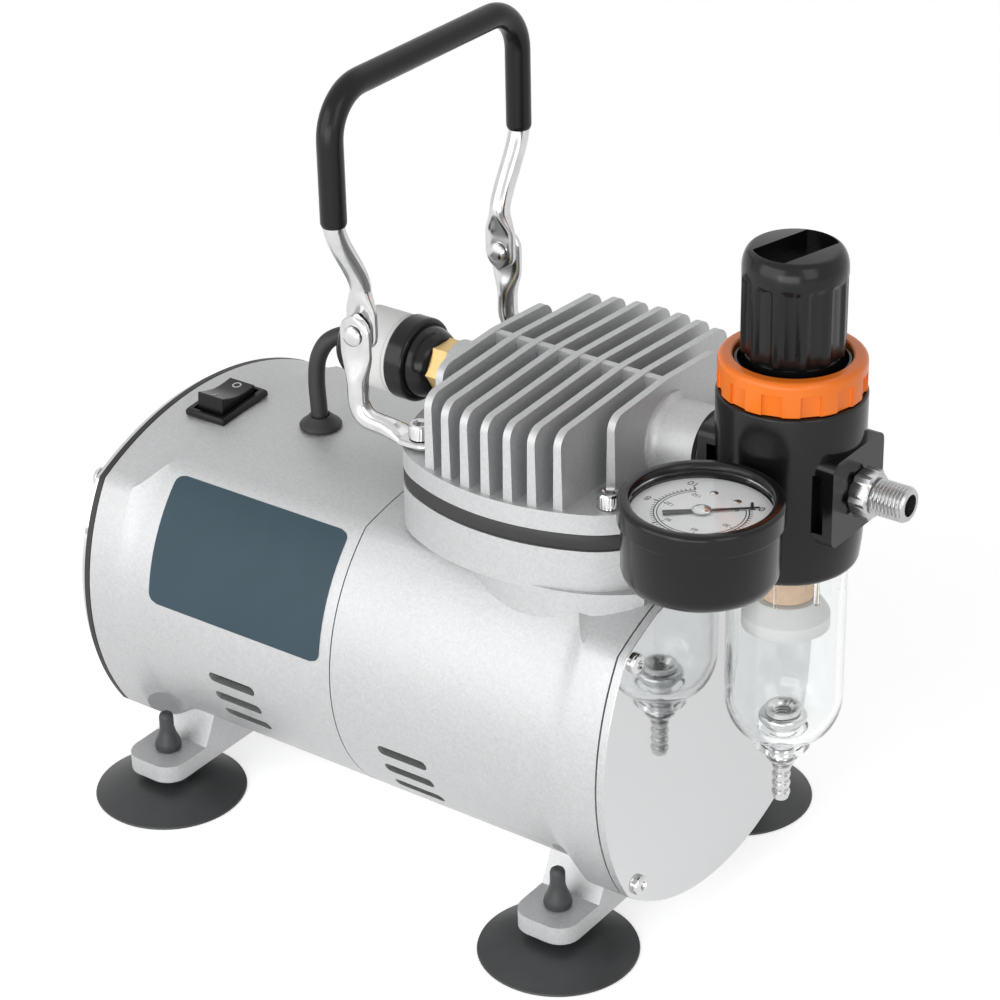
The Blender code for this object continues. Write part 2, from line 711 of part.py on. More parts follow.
def casting(name, parent, end, foot_x, vent_x, web_x):
    """One half of the motor; end is -1 for the rear half and 1 for the front half."""
    distances = [CORNER_FADE * share for share in FADE_SHARES] + [HALF_LENGTH - GAP / 2]
    form = bmesh.new()
    rings = []
    for distance in distances:
        rings.append(housing_slice(housing_outline(end_fade(distance)), end * (HALF_LENGTH - distance)))
    skin(form, rings)
    made = piece(name, form, "cast_aluminium", parent)

    join(made, together([prism(pad_outline(foot_x, side), PAD_BOTTOM, PAD_TOP) for side in (-1, 1)]))
    join(made, together([lug(foot_x, side) for side in (-1, 1)]))
    if end > 0:
        join(made, drill(NECK_RADIUS, AXIS_Z, DECK_BOTTOM + CUT_PAST, LARGE_SIDES), place=(HEAD_X, 0, 0))
        join(made, prism(flange_outline(), DECK_BOTTOM, DECK_TOP), place=(HEAD_X, 0, 0))

    inside = housing_outline(1, (BARREL_RADIUS - WALL) / BARREL_RADIUS)
    web_low, web_high = web_x, web_x + WEB
    low_end, high_end = sorted((0, end * HALF_LENGTH))
    tool(made, housing_prism(inside, low_end - CUT_PAST, web_low))
    tool(made, housing_prism(inside, web_high, high_end + CUT_PAST))

    hole_ends = sorted((end * (HALF_LENGTH + CUT_PAST), end * (HALF_LENGTH - SCREW_LENGTH)))
    holes = [moved(drill(SCREW_RADIUS + GAP, *hole_ends, axis=TO_X), 0, y, z) for y, z in cover_screws()]
    tool(made, together(holes))

    bearing = drill(BEARING_RADIUS + GAP, web_low - CUT_PAST, web_high + CUT_PAST, SMALL_SIDES, TO_X)
    tool(made, bearing, place=(0, 0, AXIS_Z))

    vents = [moved(box(VENT_LENGTH, 3 * BARREL_RADIUS, z, z + VENT_HEIGHT), vent_x) for z in vent_z()]
    tool(made, together(vents))
    stem_ends = (PAD_BOTTOM - CUT_PAST, PAD_TOP + CUT_PAST)
    stems = [moved(drill(FOOT_NECK_RADIUS + GAP, *stem_ends), foot_x, side * FOOT_Y) for side in (-1, 1)]
    tool(made, together(stems))
    return made


def make_castings(parent):
    """Both halves of the motor, the front one with the cylinder deck."""
    rear = casting("rear_housing", parent, -1, FOOT_REAR_X, REAR_VENT_X, REAR_WEB_X)
    seat = (SWITCH_FRAME[0] + 2 * GAP, SWITCH_FRAME[1] + 2 * GAP)
    opening = (SWITCH_BODY[0] + 2 * GAP, SWITCH_BODY[1] + 2 * GAP)
    tilt = (SWITCH_TILT, 0, 0)
    tool(rear, box(*seat, -SWITCH_SEAT, SWITCH_BODY[2]), place=switch_place(), turn=tilt)
    tool(rear, box(*opening, -SWITCH_BODY[2] - CUT_PAST, 0), place=switch_place(), turn=tilt)
    hole = drill(GROMMET_NECK + GAP, AXIS_Z + BARREL_RADIUS / 2, AXIS_Z + BARREL_RADIUS, SMALL_SIDES)
    tool(rear, hole, place=(GROMMET_X, GROMMET_Y, 0))

    front = casting("front_housing", parent, 1, FOOT_FRONT_X, FRONT_VENT_X, FRONT_WEB_X)
    tool(front, drill(DECK_BORE, AXIS_Z, DECK_TOP + CUT_PAST, LARGE_SIDES), place=(HEAD_X, 0, 0))
    cover_top = END_UPPER[1] + END_RISES[2] + GAP
    cover_room = box(2 * FRONT_COVER, FLANGE_HALF, DECK_BOTTOM - CUT_PAST, cover_top)
    tool(front, cover_room, place=(HALF_LENGTH + FRONT_COVER, 0, 0))
    screw_ends = (DECK_TOP - HEAD_SCREW_DEPTH - GAP, DECK_TOP + CUT_PAST)
    holes = [moved(drill(HEAD_SCREW_RADIUS + GAP, *screw_ends), x, y) for x, y in head_screws()]
    tool(front, together(holes))


def cover_holes(low, high):
    """Clearance holes for the cover screws."""
    radius = SCREW_RADIUS + GAP
    return together([moved(drill(radius, low, high, axis=TO_X), 0, y, z) for y, z in cover_screws()])


def make_covers(parent):
    """Flat end covers, the rear gasket and the screws that hold them."""
    outline = housing_outline(0)
    form = housing_prism(outline, HALF_LENGTH + GAP, FRONT_FACE_X)
    front = piece("front_cover", form, "machined_aluminium", parent)
    tool(front, cover_holes(HALF_LENGTH, FRONT_FACE_X + CUT_PAST))

    gasket_ends = (REAR_GASKET_X - REAR_GASKET, REAR_GASKET_X)
    gasket = piece("rear_gasket", housing_prism(outline, *gasket_ends), "rubber", parent)
    land = housing_outline(1, GASKET_LAND)
    tool(gasket, housing_prism(land, gasket_ends[0] - CUT_PAST, gasket_ends[1] + CUT_PAST))
    tool(gasket, cover_holes(gasket_ends[0] - CUT_PAST, gasket_ends[1] + CUT_PAST))

    form = housing_prism(outline, REAR_FACE_X, REAR_COVER_X)
    rear = piece("rear_cover", form, "machined_aluminium", parent)
    tool(rear, cover_holes(REAR_FACE_X - CUT_PAST, REAR_COVER_X + CUT_PAST))
    lead = drill(LEAD_HOLE_RADIUS, REAR_FACE_X - CUT_PAST, REAR_COVER_X + CUT_PAST, SMALL_SIDES, TO_X)
    tool(rear, moved(lead, 0, 0, LEAD_HOLE_Z))

    for end, face_x in (("front", FRONT_FACE_X), ("rear", REAR_FACE_X)):
        way = 1 if end == "front" else -1
        tip = -SCREW_LENGTH + (0 if end == "front" else GAP)
        profile = [
            (SCREW_RADIUS, tip),
            (SCREW_RADIUS, GAP),
            (SCREW_HEAD_RADIUS, GAP),
            (SCREW_HEAD_RADIUS, GAP + 0.5 * SCREW_HEAD),
            (0.6 * SCREW_HEAD_RADIUS, GAP + SCREW_HEAD),
        ]
        for number, (y, z) in enumerate(cover_screws(), 1):
            form = turned(profile, HOLE_SIDES, axis=TO_X)
            turn = (0, 0, 0 if way > 0 else math.pi)
            piece(f"{end}_cover_screw_{number}", form, "bright_steel", parent, (face_x, y, z), turn)


# Feet

def make_feet(parent):
    """Rubber suction cups, each pulled through its pad by the nipple."""
    pad_seat = PAD_TOP + GAP
    profile = [
        (0.5 * FOOT_RADIUS, FOOT_HOLLOW),
        (FOOT_RADIUS - FOOT_LAND, 0),
        (FOOT_RADIUS, 0),
        (FOOT_RADIUS, FOOT_LIP),
        (0.7 * FOOT_RADIUS, FOOT_SHOULDER),
        (0.3 * FOOT_RADIUS, FOOT_TOP),
        (FOOT_NECK_RADIUS, FOOT_TOP),
        (FOOT_NECK_RADIUS, pad_seat),
        (FOOT_BULB_RADIUS, pad_seat),
        (FOOT_BULB_RADIUS, pad_seat + FOOT_BULB),
        (FOOT_NIPPLE_RADIUS, pad_seat + FOOT_NIPPLE_FROM),
        (0.7 * FOOT_NIPPLE_RADIUS, FOOT_HEIGHT),
    ]
    for end, foot_x in (("rear", FOOT_REAR_X), ("front", FOOT_FRONT_X)):
        for flank, side in (("near", -1), ("far", 1)):
            name = f"{end}_{flank}_foot"
            piece(name, turned(profile, MIDDLE_SIDES), "rubber", parent, (foot_x, side * FOOT_Y, 0))


# Cylinder head and its stack

def fin_outline(half):
    """Side view of a fin as (y, z): upright ends, round corners and a low crown."""
    shoulder = FIN_TOP - FIN_CROWN * (half / FLANGE_HALF)
    points = [(-half, HEAD_TOP - CUT_PAST), (half, HEAD_TOP - CUT_PAST)]
    for index in range(FIN_CORNER_STEPS + 1):
        angle = TURN / 4 * index / FIN_CORNER_STEPS
        y = half - FIN_CORNER + FIN_CORNER * math.cos(angle)
        points.append((y, shoulder - FIN_CORNER + FIN_CORNER * math.sin(angle)))
    mirrored = [(-y, z) for y, z in reversed(points[2:])]
    return points + [(0, FIN_TOP)] + mirrored


def make_head(parent):
    """Finned head with its ports, the diaphragm rim, the valve plate and the head screws."""
    middle = (HEAD_X, 0, 0)
    flange = prism(flange_outline(), HEAD_BOTTOM, HEAD_TOP)
    head = piece("cylinder_head", flange, "cast_aluminium", parent, middle)
    fins = []
    for index in range(FINS):
        x = FIRST_FIN_X + FIN_PITCH * index
        at_end = index in (0, FINS - 1)
        half = END_FIN_HALF if at_end else flange_edge(x - HEAD_X) - FIN_INSET
        fins.append(housing_prism(fin_outline(half), x - FIN_THICK / 2, x + FIN_THICK / 2))
    join(head, together(fins))
    rib = [(-RIB_HALF, HEAD_TOP - CUT_PAST), (RIB_HALF, HEAD_TOP - CUT_PAST)]
    rib += [(RIB_HALF, FIN_TOP - RIB_DROP), (-RIB_HALF, FIN_TOP - RIB_DROP)]
    join(head, housing_prism(rib, FIRST_FIN_X, LAST_FIN_X))
    front = [
        (BOSS_FLARE, LAST_FIN_X),
        (BOSS_FLARE, LAST_FIN_X + 0.1 * FRONT_BOSS),
        (BOSS_RADIUS, LAST_FIN_X + 0.35 * FRONT_BOSS),
        (BOSS_RADIUS, FRONT_BOSS_END_X),
    ]
    join(head, turned(front, MIDDLE_SIDES, axis=TO_X), place=(0, 0, PORT_Z))
    rear = drill(REAR_BOSS_RADIUS, REAR_BOSS_END_X, FIRST_FIN_X, MIDDLE_SIDES, TO_X)
    join(head, rear, place=(0, 0, PORT_Z))

    recess_top = HEAD_BOTTOM + VALVE_PLATE + GAP
    recess = drill(VALVE_PLATE_RADIUS + GAP, HEAD_BOTTOM - CUT_PAST, recess_top, SMALL_SIDES)
    tool(head, recess, place=middle)
    spot_ends = (FRONT_BOSS_END_X, FRONT_BOSS_END_X + PORT_DEPTH)
    tool(head, drill(INLET_RING_RADIUS + GAP, *spot_ends, MIDDLE_SIDES, TO_X), place=(0, 0, PORT_Z))
    front_ends = (FRONT_BOSS_END_X - PORT_DEPTH, FRONT_BOSS_END_X + CUT_PAST)
    rear_ends = (REAR_BOSS_END_X - CUT_PAST, REAR_BOSS_END_X + BRASS_THREAD + GAP)
    bores = [drill(PORT_BORE, *ends, SMALL_SIDES, TO_X) for ends in (front_ends, rear_ends)]
    tool(head, together(bores), place=(0, 0, PORT_Z))
    screw_ends = (HEAD_BOTTOM - CUT_PAST, HEAD_TOP + CUT_PAST)
    holes = [moved(drill(HEAD_SCREW_RADIUS + GAP, *screw_ends), x, y) for x, y in head_screws()]
    tool(head, together(holes))

    make_diaphragm(parent)
    plate_z = HEAD_BOTTOM + GAP
    disc = drill(VALVE_PLATE_RADIUS, 0, VALVE_PLATE, SMALL_SIDES)
    plate = piece("valve_plate", disc, "bright_steel", parent, (HEAD_X, 0, plate_z))
    port_ends = (-CUT_PAST, VALVE_PLATE + CUT_PAST)
    ports = [moved(drill(VALVE_PORT_RADIUS, *port_ends), end * VALVE_PORT_AT) for end in (-1, 1)]
    tool(plate, together(ports), place=(HEAD_X, 0, plate_z))

    for number, (x, y) in enumerate(head_screws(), 1):
        seat = EYE_Z + EYE_HALF + GAP if x < HEAD_X else HEAD_TOP + GAP
        profile = [
            (HEAD_SCREW_RADIUS, DECK_TOP - HEAD_SCREW_DEPTH),
            (HEAD_SCREW_RADIUS, seat),
            (HEAD_SCREW_HEAD_RADIUS, seat),
            (HEAD_SCREW_HEAD_RADIUS, seat + HEAD_SCREW_HEAD),
            (HEAD_SOCKET_RADIUS, seat + HEAD_SCREW_HEAD),
            (HEAD_SOCKET_RADIUS, seat + HEAD_SCREW_HEAD - HEAD_SOCKET_DEPTH),
        ]
        piece(f"head_screw_{number}", turned(profile, HOLE_SIDES), "bright_steel", parent, (x, y, 0))


def make_diaphragm(parent):
    """Moulded rubber diaphragm: its rim is clamped all round and its middle is dished to the rod."""
    rim_low = DECK_TOP + GAP
    rim_high = rim_low + DIAPHRAGM_RIM
    skin_low = rim_low - DIAPHRAGM_DIP
    skin_high = skin_low + DIAPHRAGM_SKIN
    outline = flange_outline(GAP)
    sides = len(outline)
    holes = [(HEAD_SCREW_AT * end, HEAD_SCREW_AT * side) for end in (-1, 1) for side in (-1, 1)]
    start = math.atan2(outline[0][1], outline[0][0])

    def ring(radius):
        turn = Matrix.Rotation(start, 2)
        return [tuple(turn @ Vector(point)) for point in circle(radius, sides)]

    levels = [
        (outline, rim_high),
        (outline, rim_low),
        (ring(DECK_BORE - DIAPHRAGM_ROLL / 2), rim_low),
        (ring(DECK_BORE - 1.5 * DIAPHRAGM_ROLL), skin_low),
        (ring(STUD_RADIUS + GAP), skin_low),
        (ring(STUD_RADIUS + GAP), skin_high),
        (ring(DECK_BORE - 2 * DIAPHRAGM_ROLL), skin_high),
        (ring(DECK_BORE - DIAPHRAGM_ROLL), rim_high),
    ]
    made = piece("diaphragm", stack(levels, closed=True), "rubber", parent, (HEAD_X, 0, 0))
    ends = (rim_low - CUT_PAST, rim_high + CUT_PAST)
    cuts = [moved(drill(HEAD_SCREW_RADIUS + GAP, *ends), x, y) for x, y in holes]
    tool(made, together(cuts), place=(HEAD_X, 0, 0))


# Rocker switch, lead and pressure switch

def switch_place():
    """Middle of the switch frame's underside, on the roof of the rear casting."""
    fade = end_fade(HALF_LENGTH + SWITCH_X)
    return (SWITCH_X, SWITCH_Y, roof_height(SWITCH_Y, fade))


def make_switch(parent):
    """Panel rocker switch: a snap-in frame and a rocker that pivots along X."""
    place = switch_place()
    low = -SWITCH_SEAT + GAP
    top = low + SWITCH_FRAME[2]
    tilt = (SWITCH_TILT, 0, 0)
    frame = piece("switch_frame", box(*SWITCH_FRAME[:2], low, top), "black_plastic", parent, place, tilt)
    join(frame, box(*SWITCH_BODY[:2], -SWITCH_BODY[2], low + GAP), place, tilt)
    room = [2 * (half + spare) for half, spare in zip((ROCKER_HALF_WIDTH, ROCKER_HALF_LENGTH), ROCKER_ROOM)]
    floor = top - ROCKER_DEPTH - ROCKER_HALF_LENGTH * math.sin(ROCKER_TILT) - 2 * ROCKER_ROOM[0]
    tool(frame, box(*room, floor, top + CUT_PAST), place=place, turn=tilt)

    profile = [
        (-ROCKER_HALF_LENGTH, -ROCKER_DEPTH),
        (ROCKER_HALF_LENGTH, -ROCKER_DEPTH),
        (ROCKER_HALF_LENGTH, ROCKER_END_HEIGHT),
        (0, ROCKER_MIDDLE_HEIGHT),
        (-ROCKER_HALF_LENGTH, ROCKER_END_HEIGHT),
    ]
    pivot = Vector(place) + Matrix.Rotation(SWITCH_TILT, 3, "X") @ Vector((0, 0, top))
    form = housing_prism(profile, -ROCKER_HALF_WIDTH, ROCKER_HALF_WIDTH)
    piece("switch_rocker", form, "black_plastic", parent, pivot, (SWITCH_TILT - ROCKER_TILT, 0, 0))


def make_lead(parent):
    """Rubber grommet in the roof and the short lead that rises from it to the pressure switch."""
    seat = roof_height(GROMMET_Y, 1) + GAP
    profile = [
        (GROMMET_NECK, seat - GROMMET_DEPTH),
        (GROMMET_NECK, seat),
        (GROMMET_RADIUS, seat),
        (GROMMET_RADIUS, seat + 0.3 * GROMMET_HEIGHT),
        (GROMMET_NECK, seat + 0.85 * GROMMET_HEIGHT),
        (LEAD_RADIUS + GAP, seat + GROMMET_HEIGHT),
        (LEAD_RADIUS + GAP, seat - GROMMET_DEPTH),
    ]
    form = turned(profile, SMALL_SIDES, closed=True)
    piece("lead_grommet", form, "rubber", parent, (GROMMET_X, GROMMET_Y, 0))

    route = [Vector(point) * MM for point in LEAD_ROUTE]
    route.append(Vector((CAP_END_X - 1.5 * LEAD_RADIUS, 0, PORT_Z)))
    route.append(Vector((CAP_END_X - 2 * GAP, 0, PORT_Z)))
    curve = bpy.data.curves.new("switch_lead", "CURVE")
    curve.dimensions = "3D"
    curve.bevel_depth = LEAD_RADIUS
    curve.bevel_resolution = 2
    curve.use_fill_caps = True
    curve.render_resolution_u = 0
    path = smooth_route(route, LEAD_POINTS)
    spline = curve.splines.new("POLY")
    spline.points.add(len(path) - 1)
    for point, place in zip(spline.points, path):
        point.co = (*place, 1)
    curve.materials.append(finish("rubber"))
    lead = bpy.data.objects.new("switch_lead", curve)
    bpy.context.scene.collection.objects.link(lead)
    lead.parent = parent


def smooth_route(points, count):
    """Read points from a smooth curve through a route."""
    held = [2 * points[0] - points[1], *points, 2 * points[-1] - points[-2]]
    spans = len(points) - 1
    path = []
    for index in range(count):
        place = index * spans / (count - 1)
        span = min(int(place), spans - 1)
        t = place - span
        a, b, c, d = held[span:span + 4]
        bend = (2 * a - 5 * b + 4 * c - d) * t ** 2
        twist = (3 * b - a - 3 * c + d) * t ** 3
        path.append(0.5 * (2 * b + (c - a) * t + bend + twist))
    return path


def make_pressure_switch(parent):
    """Brass fitting in the head's rear port, and the pressure switch that screws onto it."""
    place = (0, 0, PORT_Z)
    sides = SMALL_SIDES
    brass_stem = PORT_BORE - GAP
    levels = [
        (hexagon(BRASS_FLATS, sides), BRASS_X - BRASS_HEX),
        (hexagon(BRASS_FLATS, sides), BRASS_X),
        (circle(brass_stem, sides), BRASS_X),
        (circle(brass_stem, sides), BRASS_X + BRASS_THREAD),
    ]
    piece("brass_fitting", stack(levels, axis=TO_X), "brass", parent, place)
    dish, depth = COLLAR_DISH
    profile = [
        (COLLAR_RADIUS, COLLAR_X - COLLAR_LENGTH),
        (COLLAR_RADIUS, COLLAR_X - COLLAR_EDGE),
        (COLLAR_RADIUS - COLLAR_EDGE, COLLAR_X),
        (dish, COLLAR_X),
        (dish - COLLAR_EDGE, COLLAR_X - depth),
    ]
    piece("pressure_switch_collar", turned(profile, MIDDLE_SIDES, axis=TO_X), "black_plastic", parent, place)
    body = drill(PRESSURE_BODY_RADIUS, BODY_X - PRESSURE_BODY, BODY_X, MIDDLE_SIDES, TO_X)
    piece("pressure_switch_body", body, "white_plastic", parent, place)
    profile = [
        (0.8 * PRESSURE_CAP_RADIUS, CAP_END_X),
        (PRESSURE_CAP_RADIUS, CAP_END_X + 0.3 * PRESSURE_CAP),
        (PRESSURE_CAP_RADIUS, CAP_X),
    ]
    piece("pressure_switch_cap", turned(profile, MIDDLE_SIDES, axis=TO_X), "black_plastic", parent, place)


# Carry handle

def bracket(name, parent, side):
    """Formed rod, flattened to an eye under a head screw and to an upright ear at the pivot."""
    screw_x = HEAD_X - HEAD_SCREW_AT
    rise = PIVOT_Z - EYE_Z
    run = screw_x - PIVOT_X
    plan = [
        (screw_x + EYE_REACH, 0, 0, EYE_HALF_WIDTH, EYE_HALF),
        (screw_x - EYE_REACH, 0, 0, EYE_HALF_WIDTH, EYE_HALF),
    ]
    for along, up, shift, width, depth in BRACKET_BEND:
        plan.append((screw_x - along * run, up * rise, shift, width * BRACKET_HALF, depth * BRACKET_HALF))
    plan += [
        (PIVOT_X, rise - EAR_REACH, 1, EAR_HALF, EAR_HALF_WIDTH),
        (PIVOT_X, rise + 0.4 * EAR_REACH, 1, EAR_HALF, EAR_HALF_WIDTH),
        (PIVOT_X, rise + EAR_REACH, 1, EAR_HALF, 0.55 * EAR_HALF_WIDTH),
    ]
    stations = []
    for x, up, share, half_across, half_depth in plan:
        y = side * mix(HEAD_SCREW_AT, EAR_Y, share)
        stations.append((Vector((x, y, EYE_Z + up)), half_across, half_depth))
    made = piece(name, bar(stations, Vector((0, 1, 0)), ROD_SIDES), "bright_steel", parent)
    eye = drill(HEAD_SCREW_RADIUS + GAP, EYE_Z - 4 * EYE_HALF, EYE_Z + 4 * EYE_HALF)
    tool(made, eye, place=(screw_x, side * HEAD_SCREW_AT, 0))
    ear = drill(PIVOT_RADIUS + GAP, -4 * EAR_HALF, 4 * EAR_HALF, axis=TO_Y)
    tool(made, ear, place=(PIVOT_X, side * EAR_Y, PIVOT_Z))


def handle_path(y, low, high):
    """Centre line of the handle in its own frame, from the left leg over the top to the right leg."""
    corners = [Vector((0, -y, low)), Vector((0, -y, high)), Vector((0, y, high)), Vector((0, y, low))]
    return rounded_path(corners, HANDLE_BEND, BEND_STEPS)


def make_handle(parent):
    """Brackets, pivot bolts, and the bail with its dipped grip."""
    for flank, side in (("near", -1), ("far", 1)):
        bracket(f"{flank}_bracket", parent, side)
        inner = TAB_Y - EAR_HALF - GAP
        outer = EAR_Y + EAR_HALF + GAP
        profile = [
            (0.7 * PIVOT_HEAD_RADIUS, inner - PIVOT_HEAD),
            (PIVOT_HEAD_RADIUS, inner - 0.4 * PIVOT_HEAD),
            (PIVOT_HEAD_RADIUS, inner),
            (PIVOT_RADIUS, inner),
            (PIVOT_RADIUS, outer),
            (PIVOT_HEAD_RADIUS, outer),
            (PIVOT_HEAD_RADIUS, outer + 0.4 * PIVOT_HEAD),
            (0.7 * PIVOT_HEAD_RADIUS, outer + PIVOT_HEAD),
        ]
        form = turned(profile, HOLE_SIDES, axis=TO_Y)
        turn = (0, 0, 0 if side > 0 else math.pi)
        piece(f"{flank}_pivot_bolt", form, "bright_steel", parent, (PIVOT_X, 0, PIVOT_Z), turn)

    pivot = (PIVOT_X, 0, PIVOT_Z)
    top = HANDLE_TOP_Z - PIVOT_Z
    joggle = JOGGLE_FROM_Z - PIVOT_Z
    grip_from = GRIP_FROM_Z - PIVOT_Z
    tab = [
        (-EAR_REACH, TAB_Y, 0.55 * EAR_HALF_WIDTH, EAR_HALF),
        (-0.4 * EAR_REACH, TAB_Y, EAR_HALF_WIDTH, EAR_HALF),
        (EAR_REACH, TAB_Y, EAR_HALF_WIDTH, EAR_HALF),
        (2 * EAR_REACH, TAB_Y, ROD_RADIUS, ROD_RADIUS),
        (joggle, TAB_Y, ROD_RADIUS, ROD_RADIUS),
        (mix(joggle, grip_from, 0.3), mix(TAB_Y, GRIP_Y, 0.22), ROD_RADIUS, ROD_RADIUS),
        (mix(joggle, grip_from, 0.7), mix(TAB_Y, GRIP_Y, 0.78), ROD_RADIUS, ROD_RADIUS),
    ]
    legs = []
    for side in (-1, 1):
        legs.append([(Vector((0, side * y, z)), across, depth) for z, y, across, depth in tab])
    over = [(point, ROD_RADIUS, ROD_RADIUS) for point in handle_path(GRIP_Y, grip_from, top)]
    stations = legs[0] + over + list(reversed(legs[1]))
    frame = piece("handle_frame", bar(stations, Vector((1, 0, 0)), ROD_SIDES), "bright_steel", parent, pivot)
    holes = [
        moved(drill(PIVOT_RADIUS + GAP, -4 * EAR_HALF, 4 * EAR_HALF, axis=TO_Y), 0, side * TAB_Y)
        for side in (-1, 1)
    ]
    tool(frame, together(holes), place=pivot)

    path = handle_path(GRIP_Y, grip_from + ROD_RADIUS, top)
    form = bmesh.new()
    outside = tube_rings(path, GRIP_RADIUS, ROD_SIDES)
    inside = tube_rings(path, ROD_RADIUS + GAP, ROD_SIDES)
    skin(form, outside + inside[::-1], closed=True)
    piece("handle_grip", form, "rubber", parent, pivot)


def tube_rings(path, radius, sides):
    """Rings of a round tube along a path in the YZ plane."""
    across = Vector((1, 0, 0))
    rings = []
    last = len(path) - 1
    for index, point in enumerate(path):
        ahead = path[min(index + 1, last)] - path[max(index - 1, 0)]
        depth = ahead.cross(across).normalized()
        angles = [TURN * (step + 0.5) / sides for step in range(sides)]
        rings.append([point + radius * (across * math.cos(a) + depth * math.sin(a)) for a in angles])
    return rings


# Filter regulator

def port_block(way):
    """Block of one port, from inside the body out to the port face."""
    length = PORT_FACE - REGULATOR_RADIUS / 2
    return moved(box(length, 2 * PORT_HALF_WIDTH, *PORT_BLOCK), way * (PORT_FACE - length / 2))


def port_pockets():
    """Pockets sunk into both flanks of both port blocks."""
    low, high = POCKET_X
    depth = PORT_HALF_WIDTH - POCKET_FLOOR + CUT_PAST
    y = POCKET_FLOOR + depth / 2
    pockets = []
    for way in (-1, 1):
        for side in (-1, 1):
            pockets.append(moved(box(high - low, depth, *POCKET_Z), way * (low + high) / 2, side * y))
    return together(pockets)


def make_regulator(parent):
    """Body with its ports, inlet nipple, lock ring, bonnet, adjusting screw and knob."""
    place = (REGULATOR_X, 0, 0)
    socket_top = REGULATOR_BOTTOM + BOWL_SOCKET
    bore_bottom = SEAT_Z - SCREW_SHAFT_DEPTH - GAP
    profile = [
        (BOWL_RADIUS + GAP, socket_top),
        (BOWL_RADIUS + GAP, REGULATOR_BOTTOM),
        (REGULATOR_RADIUS - REGULATOR_EDGE, REGULATOR_BOTTOM),
        (REGULATOR_RADIUS - REGULATOR_TAPER, REGULATOR_BOTTOM + REGULATOR_EDGE),
        (REGULATOR_RADIUS, REGULATOR_BOTTOM + 4 * REGULATOR_EDGE),
        (REGULATOR_RADIUS, REGULATOR_TOP),
        (SCREW_SHAFT_RADIUS + GAP, REGULATOR_TOP),
        (SCREW_SHAFT_RADIUS + GAP, bore_bottom),
    ]
    body = piece("regulator_body", turned(profile, LARGE_SIDES), "black_plastic", parent, place)
    join(body, together([port_block(way) for way in (-1, 1)]), place=place)
    tool(body, port_pockets(), place=place)
    boss = drill(GAUGE_BOSS_RADIUS, -GAUGE_BOSS_FACE, -REGULATOR_RADIUS / 2, MIDDLE_SIDES, TO_Y)
    join(body, boss, place=(REGULATOR_X, 0, PORT_Z))
    gauge_ends = (-GAUGE_BOSS_FACE - CUT_PAST, -GAUGE_BOSS_FACE + PORT_DEPTH)
    bores = [
        drill(PORT_BORE, PORT_FACE - PORT_DEPTH, PORT_FACE + CUT_PAST, SMALL_SIDES, TO_X),
        drill(PORT_BORE, -PORT_FACE - CUT_PAST, -PORT_FACE + PORT_DEPTH, SMALL_SIDES, TO_X),
        drill(GAUGE_STEM_RADIUS + GAP, *gauge_ends, SMALL_SIDES, TO_Y),
    ]
    tool(body, together(bores), place=(REGULATOR_X, 0, PORT_Z))

    ring_low = FRONT_BOSS_END_X + GAP
    ring_high = ring_low + INLET_RING
    stem = PORT_BORE - GAP
    profile = [
        (NIPPLE_BORE, ring_low - PORT_DEPTH + 2 * GAP),
        (stem, ring_low - PORT_DEPTH + 2 * GAP),
        (stem, ring_low),
        (INLET_RING_RADIUS, ring_low),
        (INLET_RING_RADIUS, ring_high),
        (stem, ring_high),
        (stem, ring_high + PORT_DEPTH - 2 * GAP),
        (NIPPLE_BORE, ring_high + PORT_DEPTH - 2 * GAP),
    ]
    form = turned(profile, SMALL_SIDES, closed=True, axis=TO_X)
    piece("inlet_nipple", form, "black_plastic", parent, (0, 0, PORT_Z))

    make_lock_ring(parent)
    make_bonnet(parent)
    make_knob(parent)


def make_lock_ring(parent):
    """Orange lock ring with grip notches round its rim."""
    place = (REGULATOR_X, 0, SEAT_Z)
    profile = [
        (LOCK_RING_BORE, 0),
        (LOCK_RING_RADIUS, 0),
        (LOCK_RING_RADIUS, LOCK_RING - LOCK_RING_CHAMFER),
        (LOCK_RING_RADIUS - LOCK_RING_CHAMFER, LOCK_RING),
        (LOCK_RING_BORE, LOCK_RING),
    ]
    form = turned(profile, 2 * LOCK_RING_NOTCHES, closed=True)
    ring = piece("lock_ring", form, "orange_plastic", parent, place)
    width, depth, height = LOCK_RING_NOTCH
    notches = []
    for index in range(LOCK_RING_NOTCHES):
        notch = moved(box(2 * depth, width, -CUT_PAST, height), LOCK_RING_RADIUS)
        notch.transform(Matrix.Rotation(TURN * (index + 0.5) / LOCK_RING_NOTCHES, 4, "Z"))
        notches.append(notch)
    tool(ring, together(notches), place=place)


def make_bonnet(parent):
    """Stepped black bonnet inside the lock ring, and the adjusting screw that runs in it."""
    foot, neck, tube = BONNET_LEVELS
    bore = SCREW_SHAFT_RADIUS + GAP
    profile = [
        (bore, 0),
        (BONNET_FOOT_RADIUS, 0),
        (BONNET_FOOT_RADIUS, foot),
        (BONNET_NECK_RADIUS, foot + BONNET_EDGE),
        (BONNET_NECK_RADIUS, neck),
        (BONNET_TUBE_RADIUS, neck),
        (BONNET_TUBE_RADIUS, tube),
        (bore, tube),
    ]
    place = (REGULATOR_X, 0, SEAT_Z)
    piece("bonnet", turned(profile, SMALL_SIDES, closed=True), "black_plastic", parent, place)

    sides = SMALL_SIDES
    drive = tube + GAP
    levels = [
        (circle(SCREW_SHAFT_RADIUS, sides), -SCREW_SHAFT_DEPTH),
        (circle(SCREW_SHAFT_RADIUS, sides), drive),
        (hexagon(2 * SCREW_DRIVE_RADIUS, sides), drive),
        (hexagon(2 * SCREW_DRIVE_RADIUS, sides), drive + SCREW_DRIVE),
    ]
    piece("adjusting_screw", stack(levels), "bright_steel", parent, place)


